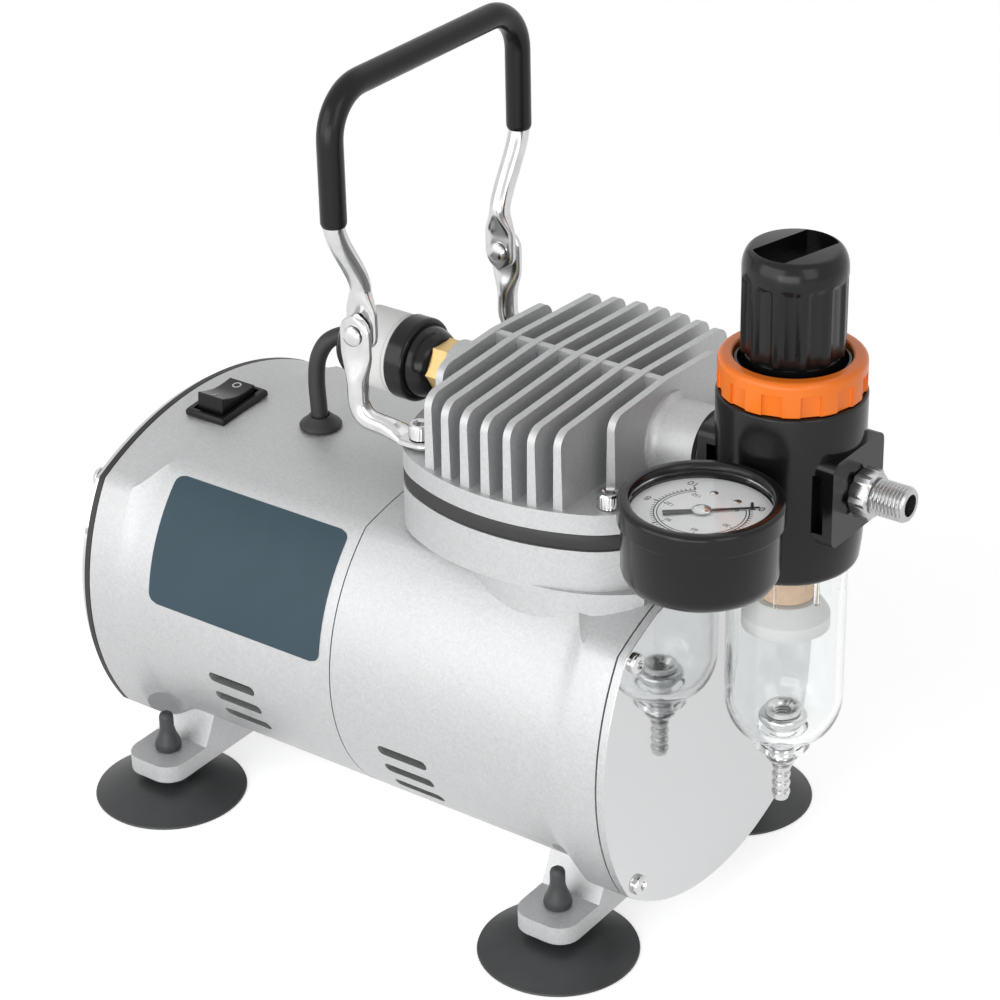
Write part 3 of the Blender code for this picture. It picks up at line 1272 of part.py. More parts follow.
def make_knob(parent):
    """Fluted pull-and-turn knob, hollow below, with a finger slot in its domed top."""
    height = KNOB_TOP - KNOB_BOTTOM
    bore = KNOB_RADIUS - KNOB_WALL
    sides = 4 * KNOB_RIBS

    def fluted(radius):
        points = circle(radius, sides)
        shares = [1, 1 - KNOB_FLUTE / radius, 1 - KNOB_FLUTE / radius, 1]
        return [(x * shares[index % 4], y * shares[index % 4]) for index, (x, y) in enumerate(points)]

    levels = [
        (circle(bore, sides), height - KNOB_ROOF),
        (circle(bore, sides), 0),
        (fluted(KNOB_RADIUS), 0),
        (fluted(KNOB_RADIUS), 0.74 * height),
    ]
    levels += [(circle(KNOB_RADIUS - inset, sides), share * height) for inset, share in KNOB_CROWN]
    place = (REGULATOR_X, 0, KNOB_BOTTOM)
    knob = piece("regulator_knob", stack(levels), "black_plastic", parent, place)
    reach, half, depth = KNOB_SLOT
    lean = math.acos(half / reach)
    outline = []
    for way in (0, math.pi):
        for index in range(KNOB_SLOT_STEPS + 1):
            angle = way + lean + (TURN / 2 - 2 * lean) * index / KNOB_SLOT_STEPS
            outline.append((reach * math.cos(angle), reach * math.sin(angle)))
    slot = prism(outline, height - depth, height + CUT_PAST)
    tool(knob, slot, place=place, turn=(0, 0, KNOB_SLOT_ANGLE))


# Filter bowl

def make_bowl(parent):
    """Clear bowl, sintered filter, baffle, and the push-up drain."""
    place = (REGULATOR_X, 0, 0)
    top = REGULATOR_BOTTOM + BOWL_SOCKET - GAP
    inner = BOWL_RADIUS - BOWL_WALL
    floor = BOWL_BOTTOM_Z + BOWL_WALL
    outside = [(BOWL_RADIUS, top), (BOWL_RADIUS, BOWL_SHOULDER_Z)]
    inside = [(inner, top), (inner, BOWL_SHOULDER_Z + 0.3 * BOWL_WALL)]
    for share in BOWL_ARC_SHARES:
        angle = share * BOWL_ARC
        fall = math.sin(angle) / math.sin(BOWL_ARC)
        width = math.cos(angle) ** 1.4 if share < 1 else 0
        outside.append((mix(BOWL_NECK_RADIUS, BOWL_RADIUS, width), mix(BOWL_SHOULDER_Z, BOWL_BOTTOM_Z, fall)))
        inside.append((mix(BOWL_NECK_RADIUS - BOWL_EDGE, inner, width), mix(BOWL_SHOULDER_Z, floor, fall)))
    inside.reverse()
    neck = [
        (BOWL_NECK_RADIUS, BOWL_NECK_Z + BOWL_EDGE),
        (BOWL_NECK_RADIUS - BOWL_EDGE, BOWL_NECK_Z),
        (BOWL_DRAIN_HOLE, BOWL_NECK_Z),
        (BOWL_DRAIN_HOLE, floor),
    ]
    form = turned(outside + neck + inside, MIDDLE_SIDES, closed=True)
    piece("filter_bowl", form, "clear_plastic", parent, place)

    form = drill(FILTER_RADIUS, FILTER_BOTTOM, top, MIDDLE_SIDES)
    piece("filter_element", form, "sintered_bronze", parent, place)
    baffle_top = FILTER_BOTTOM - GAP
    profile = [
        (0.5 * FILTER_RADIUS, baffle_top - BAFFLE_SKIRT + BAFFLE_HOLLOW),
        (BAFFLE_RADIUS - BAFFLE_WALL, baffle_top - BAFFLE_SKIRT),
        (BAFFLE_RADIUS, baffle_top - BAFFLE_SKIRT),
        (BAFFLE_RADIUS, baffle_top - 0.55 * BAFFLE_SKIRT),
        (FILTER_RADIUS + BAFFLE_WALL, baffle_top),
    ]
    piece("baffle", turned(profile, MIDDLE_SIDES), "white_plastic", parent, place)

    seat = floor + GAP
    nut_bore = DRAIN_STEM_RADIUS + GAP
    foot_radius, foot = DRAIN_NUT_FOOT
    profile = [
        (nut_bore, seat),
        (foot_radius, seat),
        (foot_radius, seat + foot),
        (DRAIN_NUT_RADIUS, seat + foot),
        (DRAIN_NUT_RADIUS, seat + DRAIN_NUT - DRAIN_NUT_EDGE),
        (DRAIN_NUT_RADIUS - DRAIN_NUT_EDGE, seat + DRAIN_NUT),
        (nut_bore, seat + DRAIN_NUT),
    ]
    piece("drain_nut", turned(profile, SMALL_SIDES, closed=True), "bright_steel", parent, place)

    low = DRAIN_BOTTOM
    stop = seat + DRAIN_NUT + GAP
    barb = (DRAIN_CONE_TOP - DRAIN_CONE - low) / DRAIN_BARBS
    outside = []
    for index in range(DRAIN_BARBS):
        outside.append((DRAIN_BARB_ROOT, low + barb * index))
        outside.append((DRAIN_BARB_RADIUS, low + barb * (index + 0.75)))
    outside += [
        (DRAIN_BARB_RADIUS, DRAIN_CONE_TOP - DRAIN_CONE),
        (DRAIN_CONE_RADIUS, DRAIN_CONE_TOP),
        (DRAIN_STEM_RADIUS, DRAIN_CONE_TOP),
        (DRAIN_STEM_RADIUS, stop),
        (DRAIN_STOP_RADIUS, stop),
        (DRAIN_STOP_RADIUS, stop + DRAIN_STOP),
        (DRAIN_BORE, stop + DRAIN_STOP),
        (DRAIN_BORE, low),
    ]
    piece("drain_valve", turned(outside, HOLE_SIDES, closed=True), "bright_steel", parent, place)


# Gauge and outlet

def make_gauge(parent):
    """Face-up pressure gauge whose stem screws into the side of the regulator."""
    place = (REGULATOR_X, GAUGE_Y, 0)
    inside = GAUGE_CUP_RADIUS - GAUGE_WALL
    lip = GAUGE_TOP - GAUGE_LIP
    profile = [
        (inside, GAUGE_BOTTOM + GAUGE_WALL),
        (inside, lip),
        (GAUGE_LIP_INSIDE, lip),
        (GAUGE_LIP_INSIDE + GAUGE_LIP_SLOPE, GAUGE_TOP),
        (GAUGE_RADIUS - GAUGE_EDGE, GAUGE_TOP),
        (GAUGE_RADIUS, GAUGE_TOP - GAUGE_EDGE),
        (GAUGE_RADIUS, GAUGE_STEP),
        (GAUGE_CUP_RADIUS, GAUGE_STEP),
        (GAUGE_CUP_RADIUS, GAUGE_BOTTOM + GAUGE_FOOT_EDGE),
        (GAUGE_CUP_RADIUS - GAUGE_FOOT_EDGE, GAUGE_BOTTOM),
    ]
    case = piece("gauge_case", turned(profile, LARGE_SIDES), "black_plastic", parent, place)
    stem_start = GAUGE_Y + GAUGE_CUP_RADIUS - 0.5 * GAUGE_WALL
    stem_end = -GAUGE_BOSS_FACE + PORT_DEPTH - GAP
    stem = drill(GAUGE_STEM_RADIUS, stem_start, stem_end, SMALL_SIDES, TO_Y)
    join(case, stem, place=(REGULATOR_X, 0, PORT_Z))

    dial = drill(inside - GAP, DIAL_Z, DIAL_Z + DIAL, LARGE_SIDES)
    piece("gauge_dial", dial, "white_plastic", parent, place)
    lens_z = lip - GAP - LENS
    lens = drill(inside - GAP, lens_z, lens_z + LENS, LARGE_SIDES)
    piece("gauge_lens", lens, "clear_plastic", parent, place)

    hub_z = DIAL_Z + DIAL + GAP
    outline = [
        (-NEEDLE_TAIL, -2 * NEEDLE_HALF_WIDTH),
        (-NEEDLE_HUB_RADIUS, -NEEDLE_HALF_WIDTH),
        (NEEDLE_LENGTH, -0.3 * NEEDLE_HALF_WIDTH),
        (NEEDLE_LENGTH, 0.3 * NEEDLE_HALF_WIDTH),
        (-NEEDLE_HUB_RADIUS, NEEDLE_HALF_WIDTH),
        (-NEEDLE_TAIL, 2 * NEEDLE_HALF_WIDTH),
    ]
    pivot = (REGULATOR_X, GAUGE_Y, hub_z)
    turn = (0, 0, NEEDLE_ZERO)
    needle = piece("gauge_needle", prism(outline, 0, NEEDLE), "black_plastic", parent, pivot, turn)
    join(needle, drill(NEEDLE_HUB_RADIUS, *NEEDLE_HUB), place=pivot, turn=turn)


def make_outlet(parent):
    """Hose nipple: a stem in the port, a hexagon and a male thread, bored right through."""
    sides = SMALL_SIDES
    stem = PORT_BORE - GAP
    hex_low = OUTLET_X + GAP
    hex_high = hex_low + NIPPLE_HEX
    levels = [
        (circle(NIPPLE_BORE, sides), OUTLET_X - PORT_DEPTH + GAP),
        (circle(stem, sides), OUTLET_X - PORT_DEPTH + GAP),
        (circle(stem, sides), hex_low),
        (hexagon(NIPPLE_FLATS, sides), hex_low),
        (hexagon(NIPPLE_FLATS, sides), hex_high),
        (circle(NIPPLE_THREAD_RADIUS, sides), hex_high),
        (circle(NIPPLE_THREAD_RADIUS, sides), NIPPLE_END_X),
        (circle(NIPPLE_BORE, sides), NIPPLE_END_X),
    ]
    piece("outlet_nipple", stack(levels, closed=True, axis=TO_X), "bright_steel", parent, (0, 0, PORT_Z))


# Motor and drive

def make_drive(parent):
    """Stator, rotor with its eccentric, bearings, fan and connecting rod."""
    place = (0, 0, AXIS_Z)
    stack_low, stack_high = STACK
    inner, outer = WINDING_RADIUS
    bore = ROTOR_RADIUS + RUNNING_GAP
    laminations = housing_outline(1, (BARREL_RADIUS - WALL - 2 * GAP) / BARREL_RADIUS)
    stator = piece("stator", housing_prism(laminations, stack_low, stack_high), "lamination_steel", parent)
    windings = [
        (inner, stack_low - WINDING),
        (outer, stack_low - WINDING),
        (outer, stack_high + WINDING),
        (inner, stack_high + WINDING),
    ]
    join(stator, turned(windings, SMALL_SIDES, closed=True, axis=TO_X), place=place)
    tool(stator, drill(bore, stack_low - CUT_PAST, stack_high + CUT_PAST, MIDDLE_SIDES, TO_X), place=place)

    profile = [
        (SHAFT_RADIUS, SHAFT_REAR_X),
        (SHAFT_RADIUS, stack_low),
        (ROTOR_RADIUS, stack_low),
        (ROTOR_RADIUS, stack_high),
        (SHAFT_RADIUS, stack_high),
        (SHAFT_RADIUS, SHAFT_FRONT_X),
    ]
    rotor = piece("rotor", turned(profile, SMALL_SIDES, axis=TO_X), "bright_steel", parent, place)
    half = ROD_THICK / 2
    disc = drill(ECCENTRIC_RADIUS, HEAD_X - half, HEAD_X + half, SMALL_SIDES, TO_X)
    join(rotor, disc, place=(0, 0, AXIS_Z - ECCENTRIC))

    for name, web_x in (("rear_bearing", REAR_WEB_X), ("front_bearing", FRONT_WEB_X)):
        profile = [
            (SHAFT_RADIUS + GAP, web_x + GAP),
            (BEARING_RADIUS, web_x + GAP),
            (BEARING_RADIUS, web_x + WEB - GAP),
            (SHAFT_RADIUS + GAP, web_x + WEB - GAP),
        ]
        piece(name, turned(profile, SMALL_SIDES, closed=True, axis=TO_X), "bright_steel", parent, place)

    make_fan(parent, place)
    make_rod(parent)


def make_fan(parent, place):
    """Cooling fan on the rear of the shaft."""
    low = FAN_X
    high = FAN_X + FAN_WIDTH
    hub = [
        (SHAFT_RADIUS + GAP, low),
        (FAN_HUB_RADIUS, low),
        (FAN_HUB_RADIUS, high),
        (SHAFT_RADIUS + GAP, high),
    ]
    fan = piece("fan", turned(hub, SMALL_SIDES, closed=True, axis=TO_X), "white_plastic", parent, place)
    blades = []
    for index in range(FAN_BLADES):
        outline = [
            (low + FAN_INSET, -FAN_BLADE / 2),
            (low + FAN_INSET, FAN_BLADE / 2),
            (high - FAN_INSET, 1.5 * FAN_BLADE),
            (high - FAN_INSET, 0.5 * FAN_BLADE),
        ]
        blade = prism(outline, FAN_HUB_RADIUS - FAN_ROOT, FAN_RADIUS)
        blade.transform(Matrix.Rotation(TURN * index / FAN_BLADES, 4, "X"))
        blades.append(blade)
    join(fan, together(blades), place=place)


def make_rod(parent):
    """Connecting rod: an eye on the eccentric, a shank, and the clamp disc and stud under the diaphragm."""
    pivot_z = AXIS_Z - ECCENTRIC
    half = ROD_THICK / 2 - GAP
    clamp_top = DECK_TOP + GAP - DIAPHRAGM_DIP - GAP
    eye = [
        (ECCENTRIC_RADIUS + RUNNING_GAP, -half),
        (ROD_EYE_RADIUS, -half),
        (ROD_EYE_RADIUS, half),
        (ECCENTRIC_RADIUS + RUNNING_GAP, half),
    ]
    place = (HEAD_X, 0, pivot_z)
    form = turned(eye, SMALL_SIDES, closed=True, axis=TO_X)
    rod = piece("connecting_rod", form, "machined_aluminium", parent, place)
    clamp_low = clamp_top - CLAMP - pivot_z
    shank_ends = (ROD_EYE_RADIUS - ROD_OVERLAP, clamp_low + ROD_OVERLAP)
    shank = box(2 * half - 2 * GAP, 2 * ROD_HALF_WIDTH, *shank_ends)
    join(rod, shank, place=place)
    head = [
        (CLAMP_RADIUS, clamp_low),
        (CLAMP_RADIUS, clamp_low + CLAMP),
        (STUD_RADIUS, clamp_low + CLAMP),
        (STUD_RADIUS, clamp_low + CLAMP + DIAPHRAGM_SKIN + 2 * GAP),
    ]
    join(rod, turned(head, SMALL_SIDES), place=place)


def main():
    """Build the whole compressor under one empty, so that the origin is under its middle."""
    for old in list(bpy.data.objects):
        bpy.data.objects.remove(old, do_unlink=True)
    assembly = bpy.data.objects.new("compressor", None)
    assembly.location = (ASSEMBLY_X, 0, 0)
    bpy.context.scene.collection.objects.link(assembly)
    make_castings(assembly)
    make_covers(assembly)
    make_feet(assembly)
    make_head(assembly)
    make_switch(assembly)
    make_lead(assembly)
    make_pressure_switch(assembly)
    make_handle(assembly)
    make_regulator(assembly)
    make_bowl(assembly)
    make_gauge(assembly)
    make_outlet(assembly)
    make_drive(assembly)


main()
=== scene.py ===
# %% [markdown]
# # An airbrush compressor, dressed for its portrait
#
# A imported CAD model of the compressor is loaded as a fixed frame. The CAD gives true sizes and places with
# few facets, so this lesson makes the fine surface on top of it: castings with soft edges, turned plastics
# with a high count of sides, a real screw thread, a gauge dial and a clear filter bowl.

# %% Load the frame
import json
import math

import bmesh
import bpy
from mathutils import Matrix, Vector


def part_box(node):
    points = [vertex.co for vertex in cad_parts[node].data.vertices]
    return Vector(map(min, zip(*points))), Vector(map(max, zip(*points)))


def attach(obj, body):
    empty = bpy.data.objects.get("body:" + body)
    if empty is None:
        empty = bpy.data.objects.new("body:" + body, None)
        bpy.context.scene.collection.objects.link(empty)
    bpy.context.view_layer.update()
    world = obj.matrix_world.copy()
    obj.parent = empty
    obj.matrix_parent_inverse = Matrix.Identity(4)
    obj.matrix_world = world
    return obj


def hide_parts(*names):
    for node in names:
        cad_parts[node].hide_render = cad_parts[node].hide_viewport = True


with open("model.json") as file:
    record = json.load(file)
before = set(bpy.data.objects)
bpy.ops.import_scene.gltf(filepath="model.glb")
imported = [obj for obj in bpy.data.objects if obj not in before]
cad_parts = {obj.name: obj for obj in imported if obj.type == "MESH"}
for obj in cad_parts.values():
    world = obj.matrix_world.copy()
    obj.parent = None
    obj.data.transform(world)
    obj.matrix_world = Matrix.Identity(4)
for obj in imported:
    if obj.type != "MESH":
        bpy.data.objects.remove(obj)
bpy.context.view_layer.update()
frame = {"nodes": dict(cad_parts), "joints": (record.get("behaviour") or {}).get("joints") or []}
MM = 0.001
TURN = 2 * math.pi

# %% [markdown]
# ## Camera
#
# The place of a camera can be worked out from points whose position is known both on the object and in the
# picture. Here that gave a long lens from above the front corner, with a slight roll of the horizon.

# %% Place the camera
SPLIT_X = (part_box("rear_housing")[1].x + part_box("front_housing")[0].x) / 2
LENS = 111.146
SENSOR_WIDTH = 36
NEAREST = 0.01
CAMERA_FROM_SPLIT = Vector((476.85, -621.42, 521.80)) * MM
AZIMUTH = math.radians(36.415)
ELEVATION = math.radians(28.280)
ROLL = math.radians(-1.2657)

camera_data = bpy.data.cameras.new("camera")
camera_data.lens = LENS
camera_data.sensor_width = SENSOR_WIDTH
camera_data.clip_start = NEAREST
camera = bpy.data.objects.new("camera", camera_data)
bpy.context.scene.collection.objects.link(camera)
level_back = Vector((math.sin(AZIMUTH), -math.cos(AZIMUTH), 0))
back = level_back * math.cos(ELEVATION) + Vector((0, 0, math.sin(ELEVATION)))
level_right = Vector((math.cos(AZIMUTH), math.sin(AZIMUTH), 0))
level_up = back.cross(level_right)
right = level_right * math.cos(ROLL) + level_up * math.sin(ROLL)
up = level_up * math.cos(ROLL) - level_right * math.sin(ROLL)
place = CAMERA_FROM_SPLIT + Vector((SPLIT_X, 0, 0))
camera.matrix_world = Matrix.Translation(place) @ Matrix((right, up, back)).transposed().to_4x4()
bpy.context.scene.camera = camera
print("camera at", [round(c, 4) for c in place])

# %% [markdown]
# ## Shader sums
#
# A finish is mostly arithmetic on noise. A small class wraps a socket, so that a sum written in Python adds
# the Math nodes that do it, and one method makes every other kind of node.

# %% A socket that can be used in sums


class Value:
    """A shader socket with operators that add Math nodes."""

    def __init__(self, finish, socket):
        self.finish = finish
        self.socket = socket

    def math(self, operation, other, swap=False):
        pair = (other, self) if swap else (self, other)
        return self.finish.node("ShaderNodeMath", {"operation": operation}, {0: pair[0], 1: pair[1]})

    def __add__(self, other):
        return self.math("ADD", other)

    def __rsub__(self, other):
        return self.math("SUBTRACT", other, swap=True)

    def __mul__(self, other):
        return self.math("MULTIPLY", other)

    __radd__ = __add__
    __rmul__ = __mul__


class Finish:
    """A material with one Principled shader, and a way to add nodes."""

    def __init__(self, name, colour, roughness, metallic=0.0, **constants):
        self.material = bpy.data.materials.new(name)
        self.material.use_nodes = True
        self.tree = self.material.node_tree
        self.shader = self.tree.nodes["Principled BSDF"]
        self.shader.inputs["Base Color"].default_value = (*colour, 1)
        self.shader.inputs["Roughness"].default_value = roughness
        self.shader.inputs["Metallic"].default_value = metallic
        for socket, amount in constants.items():
            self.shader.inputs[socket.replace("_", " ")].default_value = amount
        self.place = self.node("ShaderNodeTexCoord", output="Object")

    def node(self, kind, settings=None, inputs=None, output=0):
        made = self.tree.nodes.new(kind)
        for key, value in (settings or {}).items():
            setattr(made, key, value)
        for key, value in (inputs or {}).items():
            self.feed(made.inputs[key], value)
        return Value(self, made.outputs[output])

    def feed(self, socket, value):
        if isinstance(value, Value):
            self.tree.links.new(value.socket, socket)
        else:
            socket.default_value = value

    def set(self, socket, value):
        self.feed(self.shader.inputs[socket], value)

    def noise(self, size, detail=2.0, stretch=(1, 1, 1)):
        """Noise from 0 to 1 whose blobs are about one size across, in metres."""
        where = self.node("ShaderNodeMapping", None, {"Vector": self.place, "Scale": stretch})
        return self.node("ShaderNodeTexNoise", None, {"Vector": where, "Scale": 1 / size, "Detail": detail})

    def cells(self, size, output=0):
        """Cells about one size across, in metres: how far it is to the middle, or a colour for each."""
        return self.node("ShaderNodeTexVoronoi", None, {"Vector": self.place, "Scale": 1 / size}, output)

    def mixed(self, share, first, second):
        """A colour that goes from the first to the second as the share goes from 0 to 1."""
        inputs = {0: share, 6: (*first, 1), 7: (*second, 1)}
        return self.node("ShaderNodeMix", {"data_type": "RGBA"}, inputs, output=2)

    def bump(self, height, depth, strength=1.0):
        inputs = {"Height": height, "Distance": depth, "Strength": strength}
        self.set("Normal", self.node("ShaderNodeBump", None, inputs))


# %% [markdown]
# ## Finishes
#
# Each finish is named for what it covers. Cast aluminium is blasted, so it is rough and its grains glint
# one by one. The covers are machined flat and almost mirror. Plastics are plain colours with a little
# moulding texture, and rubber is dull with dust in it.

# %% Metals


def blasted_casting():
    """Sand-blasted aluminium: fine grains that glint, over a soft cloudiness."""
    finish = Finish("blasted_casting", (0.60, 0.61, 0.62), 0.45, 0.62)
    grain = finish.noise(0.9 * MM, 3)
    cloud = finish.noise(22 * MM, 2)
    glint = finish.node("ShaderNodeSeparateColor", None, {"Color": finish.cells(0.55 * MM, "Color")})
    tone = grain * 0.7 + glint * 0.3
    finish.set("Base Color", finish.mixed(tone, (0.46, 0.465, 0.47), (0.64, 0.645, 0.65)))
    finish.set("Roughness", 0.42 + glint * 0.12 + cloud * 0.08)
    finish.bump(grain + glint * 0.5, 0.08 * MM, 0.4)
    return finish.material


def machined_cover():
    """Rolled and polished plate: nearly a mirror, with faint grain along it."""
    finish = Finish("machined_cover", (0.60, 0.605, 0.61), 0.16, 1.0)
    lines = finish.noise(0.5 * MM, 2, (1, 1, 0.03))
    haze = finish.noise(16 * MM, 2)
    finish.set("Roughness", 0.02 + lines * 0.03 + haze * 0.03)
    finish.bump(lines, 0.01 * MM, 0.08)
    return finish.material


def patchy(name, colour, worn, roughness, rougher, patch, pores=None, metallic=0.0, **constants):
    """A finish whose colour and roughness drift in patches, over a fine texture if it has pores."""
    finish = Finish(name, colour, roughness, metallic, **constants)
    share = finish.noise(*patch)
    finish.set("Base Color", finish.mixed(share, colour, worn))
    finish.set("Roughness", roughness + share * rougher)
    if pores:
        size, depth, strength = pores
        finish.bump(finish.noise(size), depth, strength)
    return finish.material


def grey(tone):
    return (tone, tone, tone)


casting = blasted_casting()
# Painted shade: a near-black finish for the castings' inner faces, which stands in for the shade inside the
# motor seen through the vents.
painted_shade_casting = Finish("painted_shade_casting", (0.02, 0.02, 0.021), 0.8, Specular_IOR_Level=0.1).material
cover_plate = machined_cover()
bright = patchy("bright_metal", grey(0.72), grey(0.52), 0.10, 0.14, (4 * MM, 3), metallic=1.0)
plated = patchy("plated_steel", grey(0.56), grey(0.38), 0.20, 0.14, (4 * MM, 3), metallic=1.0)
brass = patchy("yellow_brass", (0.78, 0.56, 0.26), (0.68, 0.48, 0.20), 0.42, 0.12, (3 * MM, 3), metallic=0.75)
LAMINATION = (0.05, 0.05, 0.055)
dark = patchy("dark_steel", LAMINATION, LAMINATION, 0.35, 0.25, (0.6 * MM, 1, (1, 0.05, 0.05)), metallic=1.0)
print("metals made")

# %% Plastics and rubber


def moulded(name, colour, roughness, texture=0.02, shine=0.5):
    """Injection-moulded plastic: an even colour with a faint orange-peel."""
    shade = tuple(0.82 * c for c in colour)
    peel = (1.6 * MM, texture * MM, 0.3)
    return patchy(name, colour, shade, roughness, 0.08, (14 * MM, 2), peel, Specular_IOR_Level=shine)


def dull_rubber(name, colour, roughness):
    """Moulded rubber with a little dust caught in its pores."""
    dusty = tuple(1.6 * c + 0.01 for c in colour)
    return patchy(name, colour, dusty, roughness, 0.15, (9 * MM, 4), (0.7 * MM, 0.05 * MM, 0.4))


def clear_moulding(name, tint, roughness, bending=1.49):
    """Clear polycarbonate with faint flow lines."""
    flow = (7 * MM, 1, (1, 1, 0.2))
    return patchy(name, tint, tint, roughness, 0.02, flow, Transmission_Weight=1.0, IOR=bending)


def porous_bronze():
    """Sintered filter: bonded beads with open pores."""
    finish = Finish("porous_bronze", (0.62, 0.44, 0.28), 0.9)
    beads = finish.cells(0.5 * MM)
    finish.set("Base Color", finish.mixed(beads, (0.82, 0.57, 0.38), (0.62, 0.41, 0.26)))
    finish.bump(1 - beads, 0.2 * MM, 0.6)
    return finish.material


black = moulded("black_moulding", (0.007, 0.007, 0.0075), 0.15, shine=0.3)
satin_black = moulded("satin_black", (0.008, 0.008, 0.0085), 0.22, 0.04, 0.25)
orange = moulded("orange_moulding", (1.0, 0.215, 0.012), 0.25, shine=0.4)
white = moulded("white_moulding", (0.86, 0.86, 0.85), 0.42)
enamel = moulded("dial_enamel", (0.86, 0.87, 0.87), 0.5)
ink = moulded("dial_ink", (0.015, 0.015, 0.016), 0.5)
plate_paint = moulded("plate_paint", (0.040, 0.074, 0.098), 0.5, shine=0.3)
cup_rubber = dull_rubber("cup_rubber", (0.022, 0.024, 0.025), 0.36)
seal_rubber = dull_rubber("seal_rubber", (0.012, 0.012, 0.013), 0.45)
clear = clear_moulding("clear_bowl", (0.97, 0.985, 0.985), 0.03)
glazing = clear_moulding("gauge_glazing", (0.98, 0.99, 0.99), 0.015, 1.2)
sinter = porous_bronze()
print("plastics and rubber made")

# %% [markdown]
# ## Making pieces
#
# Most pieces are turned, so one helper spins a profile of (radius, height) points. Others are outlines
# stacked along an axis. Every piece rides on the body that carries it, takes its finish, and may stand
# for a CAD node.

# %% Helpers that hang pieces on a body
SMOOTH_ANGLE = math.radians(35)
BEVEL_SEGMENTS = 3


def loose(name, form):
    """An object made of a form, which is used up."""
    bmesh.ops.recalc_face_normals(form, faces=form.faces)
    mesh = bpy.data.meshes.new(name)
    form.to_mesh(mesh)
    form.free()
    made = bpy.data.objects.new(name, mesh)
    bpy.context.scene.collection.objects.link(made)
    return made


def soften(piece, width):
    """Round the sharp edges of a piece."""
    modifier = piece.modifiers.new("soft_edges", "BEVEL")
    modifier.width = width
    modifier.segments = BEVEL_SEGMENTS
    modifier.limit_method = "ANGLE"
    modifier.angle_limit = SMOOTH_ANGLE
    modifier.harden_normals = True


def hang(name, form, material, node=None, body="compressor", bevel=0.0, slot=None):
    """Turn a form into a smooth piece that rides on a body and may stand for a CAD node."""
    piece = loose(name, form)
    piece.data.materials.append(material)
    piece.data.shade_smooth()
    piece.data.set_sharp_from_angle(angle=SMOOTH_ANGLE)
    if bevel:
        soften(piece, bevel)
    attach(piece, body)
    if node:
        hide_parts(node)
    return piece


def refinish(piece, material, chosen):
    """Give the faces that pass a test, on their middle and normal, another finish."""
    piece.data.materials.append(material)
    for face in piece.data.polygons:
        if chosen(face.center, face.normal):
            face.material_index = len(piece.data.materials) - 1


def dress(nodes, material):
    """Give CAD nodes a finish."""
    for node in nodes:
        mesh = frame["nodes"][node].data
        mesh.materials.clear()
        mesh.materials.append(material)


def centre(node):
    low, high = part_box(node)
    return (low + high) / 2


def joint_place(name):
    return Vector(next(joint for joint in frame["joints"] if joint["name"] == name)["pos_m"])


# %% Outlines and profiles
FINE_SIDES = 96


def mix(first, second, share):
    if isinstance(first, tuple):
        return tuple(mix(one, other, share) for one, other in zip(first, second))
    return first + (second - first) * share


def ease(value, low, high):
    """Rise smoothly from 0 to 1 as the value goes from low to high."""
    share = min(max((value - low) / (high - low), 0), 1)
    return share * share * (3 - 2 * share)


def around(reaches):
    """An outline whose points are this far out, spread evenly round a turn."""
    points = []
    for index, reach in enumerate(reaches):
        angle = TURN * index / len(reaches)
        points.append((reach * math.cos(angle), reach * math.sin(angle)))
    return points


def circle(radius, sides=FINE_SIDES):
    return around([radius] * sides)


def hexagon(flats, sides=FINE_SIDES):
    reaches = []
    for index in range(sides):
        off_flat = (TURN * index / sides + TURN / 12) % (TURN / 6) - TURN / 12
        reaches.append(flats / 2 / math.cos(off_flat))
    return around(reaches)


def oblong(low_x, low_y, high_x, high_y):
    return [(low_x, low_y), (high_x, low_y), (high_x, high_y), (low_x, high_y)]


def rounded(polygon, radius, steps=6):
    """Round the corners of a polygon that turns left."""
    points = []
    count = len(polygon)
    for index in range(count):
        corner = Vector(polygon[index])
        before = (Vector(polygon[index - 1]) - corner).normalized()
        after = (Vector(polygon[(index + 1) % count]) - corner).normalized()
        half = before.angle(after) / 2
        middle = corner + (before + after).normalized() * radius / math.sin(half)
        first = corner + before * radius / math.tan(half) - middle
        opening = math.pi - 2 * half
        for step in range(steps + 1):
            points.append(tuple(middle + Matrix.Rotation(opening * step / steps, 2) @ first))
    return points


def rectangle(half_x, half_y, corner, steps=5):
    return rounded(oblong(-half_x, -half_y, half_x, half_y), corner, steps)


def quarter(radius, corner_r, corner_z, start, steps=6, rise=None):
    """Points of a quarter turn in a profile, from an angle on; with a rise, a quarter of an ellipse."""
    points = []
    for step in range(steps + 1):
        angle = math.radians(start + 90 * step / steps)
        points.append((corner_r + radius * math.cos(angle), corner_z + (rise or radius) * math.sin(angle)))
    return points


def points_from(start, *pairs):
    """Part of a profile: pairs of a radius and a distance ahead of the start, in millimetres."""
    return [(radius * MM, start + ahead * MM) for radius, ahead in pairs]


def levels_from(start, *rows, sides=FINE_SIDES):
    """Part of a stack: a kind of outline, its size and its distance ahead of the start, in millimetres."""
    return [(shape(size * MM, sides), start + ahead * MM) for shape, size, ahead in rows]


print("points of a hexagon", len(hexagon(1)))

# %% Forms made of outlines
FLAT_ANGLE = math.radians(0.4)
MERGE_REACH = 0.002 * MM
TO_X = Matrix.Rotation(math.radians(90), 4, "Y")
TO_Y = Matrix.Rotation(math.radians(-90), 4, "X")


def skin(rings, closed=False):
    """Skin rings of equal counts; a closed skin runs back to its first ring."""
    form = bmesh.new()
    made = [[form.verts.new(point) for point in ring] for ring in rings]
    pairs = list(zip(made, made[1:]))
    if closed:
        pairs.append((made[-1], made[0]))
    for low, high in pairs:
        for index in range(len(low)):
            after = (index + 1) % len(low)
            form.faces.new((low[index], low[after], high[after], high[index]))
    if not closed:
        form.faces.new(list(reversed(made[0])))
        form.faces.new(made[-1])
    return form


